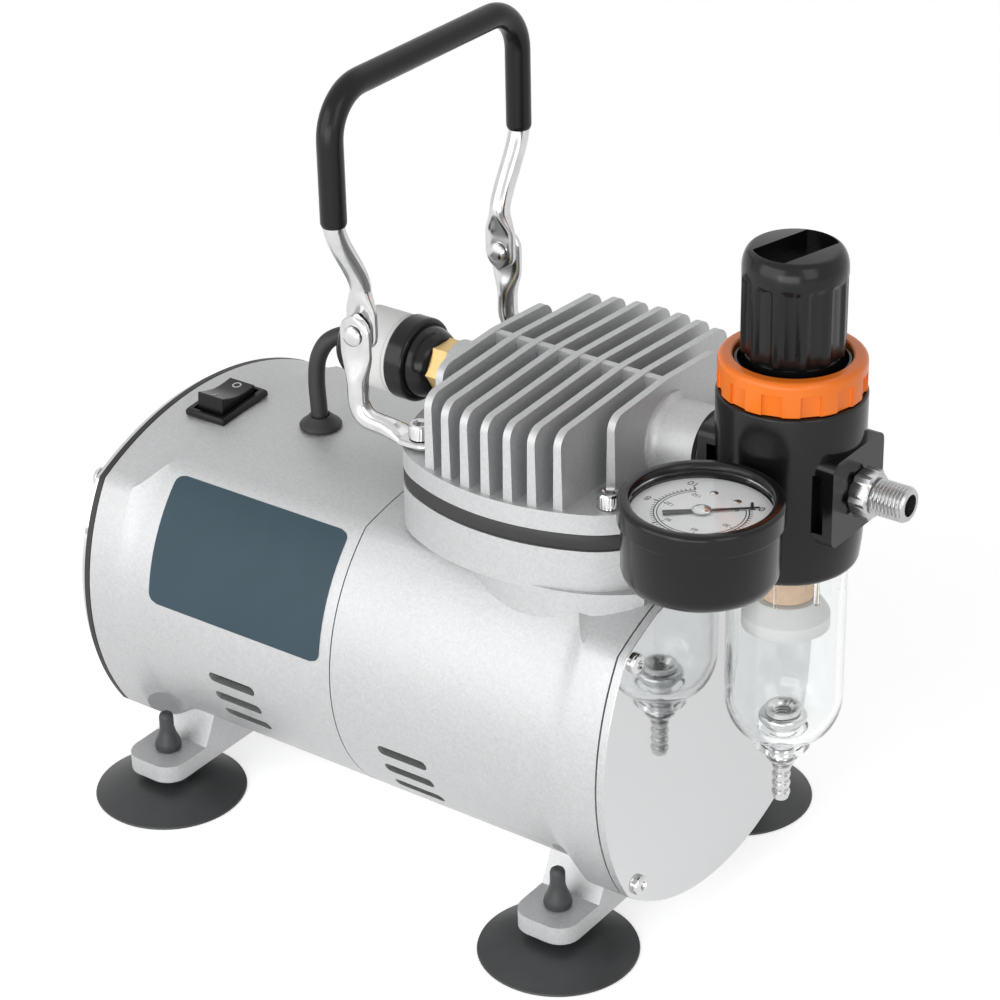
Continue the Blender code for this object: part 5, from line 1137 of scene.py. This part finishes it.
cap_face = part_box("pressure_switch_cap")[0].x
route = [Vector((SPLIT_X + x * MM, y * MM, z * MM)) for x, y, z in LEAD_ROUTE]
route += [Vector((cap_face - before, 0, PORT_Z)) for before in (1.5 * LEAD_RADIUS, 0.2 * MM)]
lead_path = eased(route, LEAD_POINTS)
curve = bpy.data.curves.new("lead_cable", "CURVE")
curve.dimensions = "3D"
curve.bevel_depth = LEAD_RADIUS
curve.bevel_resolution = 6
curve.use_fill_caps = True
spline = curve.splines.new("POLY")
spline.points.add(len(lead_path) - 1)
for point, spot in zip(spline.points, lead_path):
    point.co = (*spot, 1)
spline.use_smooth = True
curve.materials.append(seal_rubber)
lead = bpy.data.objects.new("lead_cable", curve)
bpy.context.scene.collection.objects.link(lead)
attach(lead, "compressor")
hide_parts("switch_lead")
lead_length = sum((b - a).length for a, b in zip(lead_path, lead_path[1:]))
print("lead length", round(lead_length, 4))

# %% Pressure switch
dome = [(3.2, 0), (4.4, 0.2), (7.4, 0.6), (8.6, 1.2), (9.6, 2.4)]
spun("switch_end_cap", "pressure_switch_cap", black, dome, [(9.6, 0)], PORT, TO_X, bevel=0.2 * MM)
chamfer = [(10.8, 0), (11.6, 0.9)]
shoulder = [(11.6, -1.2), (11.3, -1), (11.3, 0)]
spun("switch_barrel", "pressure_switch_body", white, chamfer, shoulder, PORT, TO_X, bevel=0.15 * MM)
low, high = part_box("pressure_switch_collar")
profile = points_from(low.x, (11.8, 0), (12.2, 0.5)) + points_from(high.x, (12.2, -1.4))
profile += quarter(1.3 * MM, 10.9 * MM, high.x - 1.3 * MM, 0)[1:]
profile += points_from(high.x, (9.4, 0), (8.8, -1.2), (8.4, -1.6))
lathe("switch_collar_cap", profile, black, "pressure_switch_collar", PORT, TO_X)
profile = points_from(high.x, (10.4, -0.6), (10.3, 1), (9.8, 2.8), (9, 4.4), (8.2, 5.4), (7.6, 5.8))
lathe("switch_nose", profile, black, None, PORT, TO_X)
low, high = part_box("brass_fitting")
levels = levels_from(low.x, (circle, 6.6, 0), (hexagon, 14, 0.5))
levels += levels_from(high.x, (hexagon, 14, -9.5), (circle, 6.6, -9), (circle, 5, -9), (circle, 5, 0))
hang("brass_hex", stack(levels, axis=TO_X, at=PORT), brass, "brass_fitting")
print("pressure switch turned")

# %% [markdown]
# ## Filter regulator
#
# The regulator is a glossy black moulding. Its two port blocks have a pocket in each side, and a round boss
# takes the gauge. Above it sit the orange lock ring and a fluted knob.

# %% Regulator body and inlet ring
REG_X = centre("lock_ring").x
REG = (REG_X, 0, 0)
body_low, body_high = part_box("regulator_body")
BODY_BOTTOM = body_low.z
BODY_TOP = body_high.z
BODY_RADIUS = 19.9 * MM
PORT_FACE = body_high.x - REG_X
BLOCK_Z = (131.5 * MM, 156 * MM)
BLOCK_HALF = 13 * MM
BLOCK_FROM = 8 * MM
POCKET_Z = (135.4 * MM, 152 * MM)
POCKET_X = (14.6 * MM, PORT_FACE - 2.8 * MM)
POCKET_Y = (8.5 * MM, 14 * MM)
BOSS_Y = -21.1 * MM

profile = points_from(BODY_BOTTOM, (16.5, 6), (16.5, 0))
profile += quarter(2.6 * MM, BODY_RADIUS - 3.4 * MM, BODY_BOTTOM + 2.6 * MM, -90)
profile += points_from(BODY_BOTTOM, (19.6, 7), (19.9, 12))
profile += quarter(0.6 * MM, BODY_RADIUS - 0.6 * MM, BODY_TOP - 0.6 * MM, 0, 3)
barrel = turned(profile, at=REG, sides=128)
block = rounded(oblong(-BLOCK_HALF, BLOCK_Z[0], BLOCK_HALF, BLOCK_Z[1]), 3 * MM)
blocks = []
pockets = []
for way in (-1, 1):
    blocks.append(along_x(block, *sorted((REG_X + way * BLOCK_FROM, REG_X + way * PORT_FACE))))
    low, high = sorted(REG_X + way * x for x in POCKET_X)
    for side in (-1, 1):
        near, far = sorted(side * y for y in POCKET_Y)
        pockets.append(prism(oblong(low, near, high, far), *POCKET_Z))
boss = turned(points_from(0, (9, 0), (9, 9)), axis=TO_Y, at=(REG_X, BOSS_Y, PORT_Z), sides=72)
form = worked(barrel, [("UNION", together(blocks)), ("UNION", boss), ("DIFFERENCE", together(pockets))])
hang("regulator_moulding", form, black, "regulator_body", bevel=0.45 * MM)

low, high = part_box("inlet_nipple")
ring_middle = (HEAD_HIGH.x + REG_X - PORT_FACE) / 2
profile = points_from(low.x, (5, 0)) + points_from(ring_middle, (5, -1.5), (11, -1.5), (11.5, -1), (11.5, 1))
profile += points_from(ring_middle, (11, 1.5), (5, 1.5)) + points_from(high.x, (5, 0))
lathe("inlet_ring", profile, black, "inlet_nipple", PORT, TO_X)
print("regulator at", round(REG_X, 4))

# %% Lock ring, bonnet and adjusting screw
RING_R = 19.5 * MM
NOTCHES = 12
ring_low, ring_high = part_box("lock_ring")
seat = ring_low.z
profile = points_from(seat, (15.6, 0), (19.2, 0), (19.5, 0.4)) + points_from(ring_high.z, (19.5, -1.7))
profile += quarter(1.7 * MM, RING_R - 1.7 * MM, ring_high.z - 1.7 * MM, 0)
profile += points_from(ring_high.z, (16, 0), (15.6, -0.4))
ring = turned(profile, closed=True, at=REG, sides=144)
outline = rounded(oblong(RING_R - 1 * MM, -2.7 * MM, RING_R + 2 * MM, 2.7 * MM), 0.5 * MM, 3)
notches = []
for index in range(NOTCHES):
    notch = prism(outline, seat - SPARE, seat + 6 * MM)
    notch.transform(Matrix.Rotation(TURN * (index + 0.5) / NOTCHES, 4, "Z"))
    notches.append(moved(notch, *REG))
form = worked(ring, [("DIFFERENCE", together(notches))])
hang("orange_ring", form, orange, "lock_ring", bevel=0.25 * MM)

profile = points_from(seat, (4.9, 0), (15.4, 0))
profile += points_from(ring_high.z, (15.4, -1.9), (15.1, -1.4), (14.5, -1.4), (14.3, -1.7))
profile += points_from(seat, (14.3, 3.7), (12.6, 4.7), (12.6, 9.9), (12.3, 10.2))
profile += points_from(seat, (9.8, 10.2), (9.8, 15.7), (4.9, 15.7))
lathe("bonnet_tube", profile, black, "bonnet", REG, closed=True)
low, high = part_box("adjusting_screw")
levels = levels_from(low.z, (circle, 4.6, 0))
levels += levels_from(high.z, (circle, 4.6, -5), (hexagon, 16, -5), (hexagon, 16, 0))
hang("screw_spindle", stack(levels, at=REG), bright, "adjusting_screw", "adjuster")
print("lock ring and bonnet made")

# %% Fluted knob
KNOB_R = 13.8 * MM
KNOB_RIBS = 12
KNOB_SIDES = 24 * KNOB_RIBS
FLUTE = 0.75 * MM
FLUTE_FADE = [(0.70, 1), (0.73, 0.7), (0.75, 0.2), (0.765, 0)]
DOME_IN = 2.8 * MM
SLOT_REACH = 11.2 * MM
SLOT_HALF = 5.8 * MM
SLOT_TURN = math.radians(-15)
knob_low, knob_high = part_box("regulator_knob")
knob_height = knob_high.z - knob_low.z


def fluted(radius, depth):
    """A circle with broad hollows between narrow ribs."""
    reaches = []
    for index in range(KNOB_SIDES):
        off_middle = (index / KNOB_SIDES * KNOB_RIBS - 0.375) % 1 - 0.5
        hollow = max(math.cos(off_middle * math.pi / 0.8), 0) if abs(off_middle) < 0.4 else 0
        reaches.append(radius - depth * min(hollow * 1.6, 1))
    return around(reaches)


levels = [(circle(10.6 * MM, KNOB_SIDES), z) for z in (knob_high.z - 12 * MM, knob_low.z)]
skirt = points_from(knob_low.z, (13.3, 0), (13.7, 0.35), (13.8, 1))
levels += [(fluted(radius, FLUTE), z) for radius, z in skirt]
levels += [(fluted(KNOB_R, FLUTE * share), knob_low.z + rise * knob_height) for rise, share in FLUTE_FADE]
dome = quarter(DOME_IN, KNOB_R - DOME_IN, knob_low.z + 0.8 * knob_height, 0, 8, 0.2 * knob_height)
levels += [(circle(radius, KNOB_SIDES), z) for radius, z in dome[1:]]
lean = math.acos(SLOT_HALF / SLOT_REACH)
outline = []
for way in (0, math.pi):
    angles = [way + lean + (math.pi - 2 * lean) * step / 16 for step in range(17)]
    outline += [(SLOT_REACH * math.cos(angle), SLOT_REACH * math.sin(angle)) for angle in angles]
pocket = prism(outline, knob_high.z - 4.5 * MM, knob_high.z + SPARE)
pocket.transform(Matrix.Translation(REG) @ Matrix.Rotation(SLOT_TURN, 4, "Z"))
form = worked(stack(levels, at=REG), [("DIFFERENCE", pocket)])
hang("fluted_knob", form, black, "regulator_knob", "knob", 0.4 * MM)
print("knob height", round(knob_height, 4))

# %% [markdown]
# ## Filter bowl
#
# The bowl is clear, so everything in it is seen: the tan filter, the white baffle, the drain's nut and the
# barbed push-up drain below. Short ribs inside the top of the bowl catch the light.

# %% Bowl, filter and baffle
BOWL_R = 16.2 * MM
BOWL_INNER = BOWL_R - 2 * MM
SHOULDER_Z = 76 * MM
BOWL_BOTTOM = 63 * MM
BOWL_FLOOR = 65 * MM
BOWL_STEPS = 14
BOWL_RIBS = 8
NECK_R = 7.6 * MM
bowl_low, bowl_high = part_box("filter_bowl")


def bowl_curve(radius, neck, bottom):
    """The rounded bottom of the bowl, from its wall down to the neck."""
    return quarter(radius - neck, neck, SHOULDER_Z, 0, BOWL_STEPS, bottom - SHOULDER_Z)


outside = [(BOWL_R, bowl_high.z), *bowl_curve(BOWL_R, NECK_R, BOWL_BOTTOM)]
outside += points_from(bowl_low.z, (7.6, 0.8), (6.8, 0), (3.9, 0)) + points_from(BOWL_FLOOR, (3.9, 0))
inside = [*reversed(bowl_curve(BOWL_INNER, NECK_R - 1 * MM, BOWL_FLOOR)), (BOWL_INNER, bowl_high.z)]
bowl = turned(outside + inside, closed=True, at=REG, sides=128)
ribs = []
for index in range(BOWL_RIBS):
    rib = prism(rectangle(0.9 * MM, 0.45 * MM, 0.2 * MM, 3), 110 * MM, 120 * MM)
    moved(rib, BOWL_INNER - 0.3 * MM)
    rib.transform(Matrix.Translation(REG) @ Matrix.Rotation(math.radians(-71 + 45 * index), 4, "Z"))
    ribs.append(rib)
hang("clear_bowl", worked(bowl, [("UNION", together(ribs))]), clear, "filter_bowl")

spun("bronze_filter", "filter_element", sinter, [(7.1, 0), (7.5, 0.4)], [(7.5, 0)], REG)
cone = [(3.75, 2), (10.8, 0), (11.8, 0), (12, 0.3), (12, 3.8), (11.4, 4.6)]
spun("white_baffle", "baffle", white, cone, [(8.7, 0)], REG, bevel=0.2 * MM)
print("bowl from", round(bowl_low.z, 4), "to", round(bowl_high.z, 4))

# %% Drain
BARBS = 4
DRAIN_THREADS = 5
CONE = 55 * MM
foot = [(3.7, 0), (5.6, 0), (5.6, 1.6), (6.5, 1.6), (6.8, 1.9)]
crown = [(6.8, -1), (6.4, -0.3), (5.8, 0), (3.7, 0)]
spun("ring_nut", "drain_nut", bright, foot, crown, REG, closed=True)
low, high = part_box("drain_valve")
barb = (CONE - 2.6 * MM - low.z) / BARBS
profile = points_from(low.z, (1.1, 0))
for index in range(BARBS):
    at = low.z + barb * index
    profile += points_from(at, (1.95, 0), (2.1, 0.15))
    profile += [(2.6 * MM, at + 0.7 * barb), (2.6 * MM, at + 0.82 * barb), (2 * MM, at + 0.9 * barb)]
profile += points_from(CONE, (2.6, -2.6), (4.2, -0.4), (4.4, -0.1), (4.2, 0), (3.4, 0))
profile += points_from(high.z, (3.4, -1.4), (5, -1.4), (5, 0), (4.2, 0), (3, -0.9))
for index in range(DRAIN_THREADS):
    at = high.z - (1.1 + 0.9 * index) * MM
    profile += points_from(at, (2.9, 0), (2.5, -0.3), (2.5, -0.5), (2.9, -0.8))
profile += points_from(high.z, (1.1, -5.8))
lathe("barbed_drain", profile, bright, "drain_valve", REG, closed=True, sides=56, body="drain")
print("barb length", round(barb, 5))

# %% [markdown]
# ## Gauge
#
# The gauge lies face up. Its scale is drawn with thin raised strokes and plain numbers, and reads from the
# side away from the regulator. The needle rests on a stop pin, between two small dial screws.

# %% Gauge case, lens and dial
GAUGE = centre("gauge_dial")
GAUGE_AT = (GAUGE.x, GAUGE.y, 0)
STEP_Z = 148.5 * MM
low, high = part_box("gauge_case")
profile = points_from(low.z, (18.7, 1.8))
profile += points_from(high.z, (18.7, -1.6), (18, -1.6), (18, -1.1), (18.4, -0.3), (18.9, 0))
profile += reversed(quarter(1.3 * MM, 20.1 * MM, high.z - 1.3 * MM, 0))
profile += points_from(STEP_Z, (21.4, 0.4), (21.1, 0), (20.5, 0))
profile += points_from(low.z, (20.5, 4), (20.1, 2.4), (19.3, 0.9), (17.9, 0))
case = turned(profile, at=GAUGE_AT, sides=160)
stem_profile = [(5 * MM, GAUGE.y + 19 * MM), (5 * MM, high.y)]
stem = turned(stem_profile, axis=TO_Y, at=(GAUGE.x, 0, PORT_Z), sides=48)
hang("gauge_cup", worked(case, [("UNION", stem)]), black, "gauge_case")

lens = ([(18.2, 0), (18.4, 0.2)], [(18.4, -0.2), (18.2, 0)])
spun("gauge_glass", "gauge_lens", glazing, *lens, GAUGE_AT, sides=128)
spun("dial_plate", "gauge_dial", enamel, [(18.4, 0)], [(18.4, 0)], GAUGE_AT, sides=128)
DIAL_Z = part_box("gauge_dial")[1].z
print("gauge face at", round(DIAL_Z, 4))

# %% Scale and numbers
SCALE_START = 40
SCALE_SWEEP = 270
SCALE_STEPS = 50
ARC_STEPS = 120
PRINT = 0.03 * MM


def on_dial(form, degrees, radius):
    """Lay a form on the dial, with its X axis pointing out at an angle."""
    place = Matrix.Translation((GAUGE.x, GAUGE.y, DIAL_Z))
    turn = Matrix.Rotation(math.radians(degrees), 4, "Z")
    form.transform(place @ turn @ Matrix.Translation((radius, 0, 0)))
    return form


def stroke(length, width):
    return prism(oblong(0, -width / 2, length, width / 2), 0, PRINT)


def dial_arc(radius, width):
    """A thin band along the scale."""
    rings = []
    for index in range(ARC_STEPS + 1):
        angle = math.radians(SCALE_START - SCALE_SWEEP * index / ARC_STEPS)
        ring = []
        for reach, height in oblong(radius, 0, radius + width, PRINT):
            x = GAUGE.x + reach * math.cos(angle)
            y = GAUGE.y + reach * math.sin(angle)
            ring.append((x, y, DIAL_Z + height))
        rings.append(ring)
    return skin(rings)


def numeral(text, size, degrees, radius):
    """A number that stands upright for a reader facing the regulator."""
    curve = bpy.data.curves.new("numeral", "FONT")
    curve.body = text
    curve.size = size
    curve.align_x = "CENTER"
    curve.align_y = "CENTER"
    curve.extrude = PRINT
    made = bpy.data.objects.new("numeral", curve)
    bpy.context.scene.collection.objects.link(made)
    bpy.context.view_layer.update()
    form = bmesh.new()
    mesh = bpy.data.meshes.new_from_object(made.evaluated_get(bpy.context.evaluated_depsgraph_get()))
    form.from_mesh(mesh)
    bpy.data.objects.remove(made)
    bpy.data.curves.remove(curve)
    bpy.data.meshes.remove(mesh)
    upright = SCALE_START - SCALE_SWEEP / 2 - 90
    form.transform(Matrix.Rotation(math.radians(upright - degrees), 4, "Z"))
    return on_dial(form, degrees, radius)


outer_marks = [dial_arc(11.9 * MM, 0.32 * MM)]
inner_marks = [dial_arc(11.1 * MM, 0.28 * MM)]
for index in range(SCALE_STEPS + 1):
    degrees = SCALE_START - SCALE_SWEEP * index / SCALE_STEPS
    major = index % 10 == 0
    length, width = (1.6 * MM, 0.5 * MM) if major else (0.9 * MM, 0.26 * MM)
    outer_marks.append(on_dial(stroke(length, width), degrees, 12.1 * MM))
    if major:
        outer_marks.append(numeral(str(index // 5), 3.1 * MM, degrees, 15.4 * MM))
        inner_marks.append(numeral(str(index * 3), 1.9 * MM, degrees, 9.1 * MM))
        inner_marks.append(on_dial(stroke(0.8 * MM, 0.2 * MM), degrees, 10.3 * MM))
hang("scale_marks", together(outer_marks), ink)
hang("inner_scale", together(inner_marks), ink)
print("scale marks", len(outer_marks) + len(inner_marks))

# %% Dial screws, stop pin and needle
POINTER = [(-9.8, 1.05), (-1.5, 0.7), (0, 0.5), (14.8, 0.16)]
profile = points_from(0, (1.15, 0), (1.15, 0.08), (0.95, 0.2), (0.5, 0.28), (0.1, 0.3))
screws = [on_dial(turned(profile, sides=32), degrees, 10.7 * MM) for degrees in (65, 105)]
hang("dial_screws", together(screws), bright)
pin = turned(points_from(0, (0.4, 0), (0.4, 1.45), (0.25, 1.6)), sides=24)
hang("stop_pin", on_dial(pin, 43.4, 13 * MM), ink)

over_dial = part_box("gauge_needle")[0].z - DIAL_Z
outline = [(x * MM, -y * MM) for x, y in POINTER] + [(x * MM, y * MM) for x, y in reversed(POINTER)]
pointer = on_dial(prism(outline, 0.2 * MM, 0.5 * MM), SCALE_START, 0)
hang("pointer", moved(pointer, z=over_dial), ink, "gauge_needle", "needle")
profile = points_from(0, (1.7, 0), (2.5, 0.5), (2.5, 0.75), (2.1, 1), (1.2, 1.15), (0.1, 1.2))
hub = on_dial(turned(profile, sides=48), 0, 0)
hang("needle_hub", moved(hub, z=over_dial), bright, body="needle")
print("needle over the dial by", round(over_dial, 5))

# %% [markdown]
# ## Outlet nipple
#
# The nipple's thread is a true helix: at each height the radius depends on how far the angle has run along
# the pitch.

# %% Threaded nipple
THREAD_R = 4.9 * MM
THREAD_DEPTH = 0.55 * MM
THREAD_LEAD_IN = 0.9 * MM
PITCH = 1.05 * MM
THREAD_SIDES = 72
STEPS_PER_PITCH = 10
nipple_low, nipple_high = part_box("outlet_nipple")
hex_from = REG_X + PORT_FACE + 0.3 * MM
hex_to = hex_from + 5.6 * MM
thread_length = nipple_high.x - hex_to


def thread_ring(height):
    """A ring of the thread at one height above its start, turned down towards the open end."""
    limit = mix(THREAD_R - 0.7 * MM, THREAD_R, min((thread_length - height) / THREAD_LEAD_IN, 1))
    reaches = []
    for index in range(THREAD_SIDES):
        phase = (height / PITCH - index / THREAD_SIDES) % 1
        groove = min(max(1.25 - abs(phase - 0.5) * 3.2, 0), 1)
        reaches.append(min(THREAD_R - THREAD_DEPTH * groove, limit))
    return around(reaches)


levels = levels_from(nipple_low.x, (circle, 3, 0), (circle, 5, 0), sides=THREAD_SIDES)
levels += levels_from(hex_from, (circle, 5, 0), (circle, 5.8, 0), (hexagon, 12, 0.6), sides=THREAD_SIDES)
levels += levels_from(hex_to, (hexagon, 12, -0.6), (circle, 5.8, 0), (circle, 4.3, 0), sides=THREAD_SIDES)
rows = int(thread_length / PITCH * STEPS_PER_PITCH)
heights = [thread_length * row / rows for row in range(rows + 1)]
levels += [(thread_ring(height), hex_to + height) for height in heights]
levels += levels_from(nipple_high.x, (circle, 3, 0), sides=THREAD_SIDES)
hang("threaded_nipple", stack(levels, True, TO_X, PORT), plated, "outlet_nipple")
print("thread turns", round(thread_length / PITCH, 1))

# %% [markdown]
# ## Plate on the barrel and hidden pieces
#
# A bare slate-coloured plate is stuck round the side of the barrel. The pieces inside keep their CAD shape
# and only get a finish.

# %% Plate and finishes of hidden pieces
PLATE_X = (SPLIT_X - 67 * MM, SPLIT_X - 4 * MM)
PLATE_Z = (73 * MM, 107.5 * MM)
PLATE_CORNER = 3 * MM
PLATE_STEPS = 60
side_middle, SIDE_RADIUS = arc_centre(BARREL_FORM[0], BARREL_FORM[1], BARREL_FORM[2][1])
PLATE_RADII = (SIDE_RADIUS - 0.3 * MM, SIDE_RADIUS + 0.22 * MM)
first, last = [math.asin((z - side_middle.y) / SIDE_RADIUS) for z in PLATE_Z]


def plate_ring(angle):
    """Four corners of the plate at an angle round the barrel, drawn in where its corners are round."""
    from_edge = min(angle - first, last - angle) * SIDE_RADIUS
    short = max(PLATE_CORNER - from_edge, 0)
    inset = PLATE_CORNER - math.sqrt(max(PLATE_CORNER ** 2 - short ** 2, 0))
    ring = []
    for x, radius in oblong(PLATE_X[0] + inset, PLATE_RADII[0], PLATE_X[1] - inset, PLATE_RADII[1]):
        y = -side_middle.x - radius * math.cos(angle)
        ring.append((x, y, side_middle.y + radius * math.sin(angle)))
    return ring


angles = [mix(first, last, step / PLATE_STEPS) for step in range(PLATE_STEPS + 1)]
hang("bare_plate", skin([plate_ring(angle) for angle in angles]), plate_paint)
dress(["stator"], dark)
dress(["rotor", "rear_bearing", "front_bearing", "valve_plate"], bright)
dress(["fan"], white)
dress(["connecting_rod"], cover_plate)
print("plate spans", [round(x, 4) for x in PLATE_X])

# %% [markdown]
# ## Floor and light
#
# The floor and the world look white to the camera, to mirrors and to glass, while the lamps are few, large
# and soft. The floor still takes the shadow of the object.

# %% Floor and world
FLOOR_SIZE = 6.0
FLOOR_GLOW = (0.57, 0.57, 0.57)
WORLD_LIGHT = 0.34


def seen_directly(tree):
    """A socket that is 1 where the camera, a mirror or glass looks straight at the surface."""
    rays = tree.nodes.new("ShaderNodeLightPath").outputs
    total = rays["Is Camera Ray"]
    for name in ("Is Glossy Ray", "Is Transmission Ray"):
        either = tree.nodes.new("ShaderNodeMath")
        either.operation = "MAXIMUM"
        tree.links.new(total, either.inputs[0])
        tree.links.new(rays[name], either.inputs[1])
        total = either.outputs[0]
    return total


floor_form = bmesh.new()
bmesh.ops.create_grid(floor_form, x_segments=1, y_segments=1, size=FLOOR_SIZE / 2)
floor_mesh = bpy.data.meshes.new("floor")
floor_form.to_mesh(floor_mesh)
floor_form.free()
floor = bpy.data.objects.new("floor", floor_mesh)
bpy.context.scene.collection.objects.link(floor)
floor_paint = Finish("floor_paint", (0.86, 0.86, 0.86), 0.9)
seen = Value(floor_paint, seen_directly(floor_paint.tree))
floor_paint.set("Emission Color", floor_paint.mixed(seen, (0, 0, 0), FLOOR_GLOW))
floor_paint.set("Emission Strength", 1)
floor_mesh.materials.append(floor_paint.material)

world = bpy.data.worlds.new("studio")
bpy.context.scene.world = world
world.use_nodes = True
tree = world.node_tree
background = tree.nodes["Background"]
blend = tree.nodes.new("ShaderNodeMix")
blend.inputs["A"].default_value = WORLD_LIGHT
blend.inputs["B"].default_value = 1
tree.links.new(seen_directly(tree), blend.inputs["Factor"])
tree.links.new(blend.outputs["Result"], background.inputs["Strength"])
background.inputs["Color"].default_value = (1, 1, 1, 1)
print("floor", FLOOR_SIZE, "m wide")

# %% Lamps
LAMP_AIM = Vector((0, 0, 0.1))


def lamp(name, place, watts, width, depth):
    """A large soft lamp that faces the object."""
    data = bpy.data.lights.new(name, "AREA")
    data.energy = watts
    data.shape = "RECTANGLE"
    data.size = width
    data.size_y = depth
    made = bpy.data.objects.new(name, data)
    made.location = place
    made.rotation_euler = (LAMP_AIM - Vector(place)).to_track_quat("-Z", "Y").to_euler()
    bpy.context.scene.collection.objects.link(made)


lamp("key", (-0.5, -1.4, 0.65), 11.5, 1.6, 1.2)
lamp("low fill", (0.5, -1.4, 0.25), 6, 1.2, 0.5)
lamp("side fill", (1.1, -0.5, 0.7), 3, 0.6, 1.0)
lamp("top", (0.1, 0.9, 1.3), 1, 1.2, 0.7)
bpy.context.scene.view_settings.view_transform = "Standard"
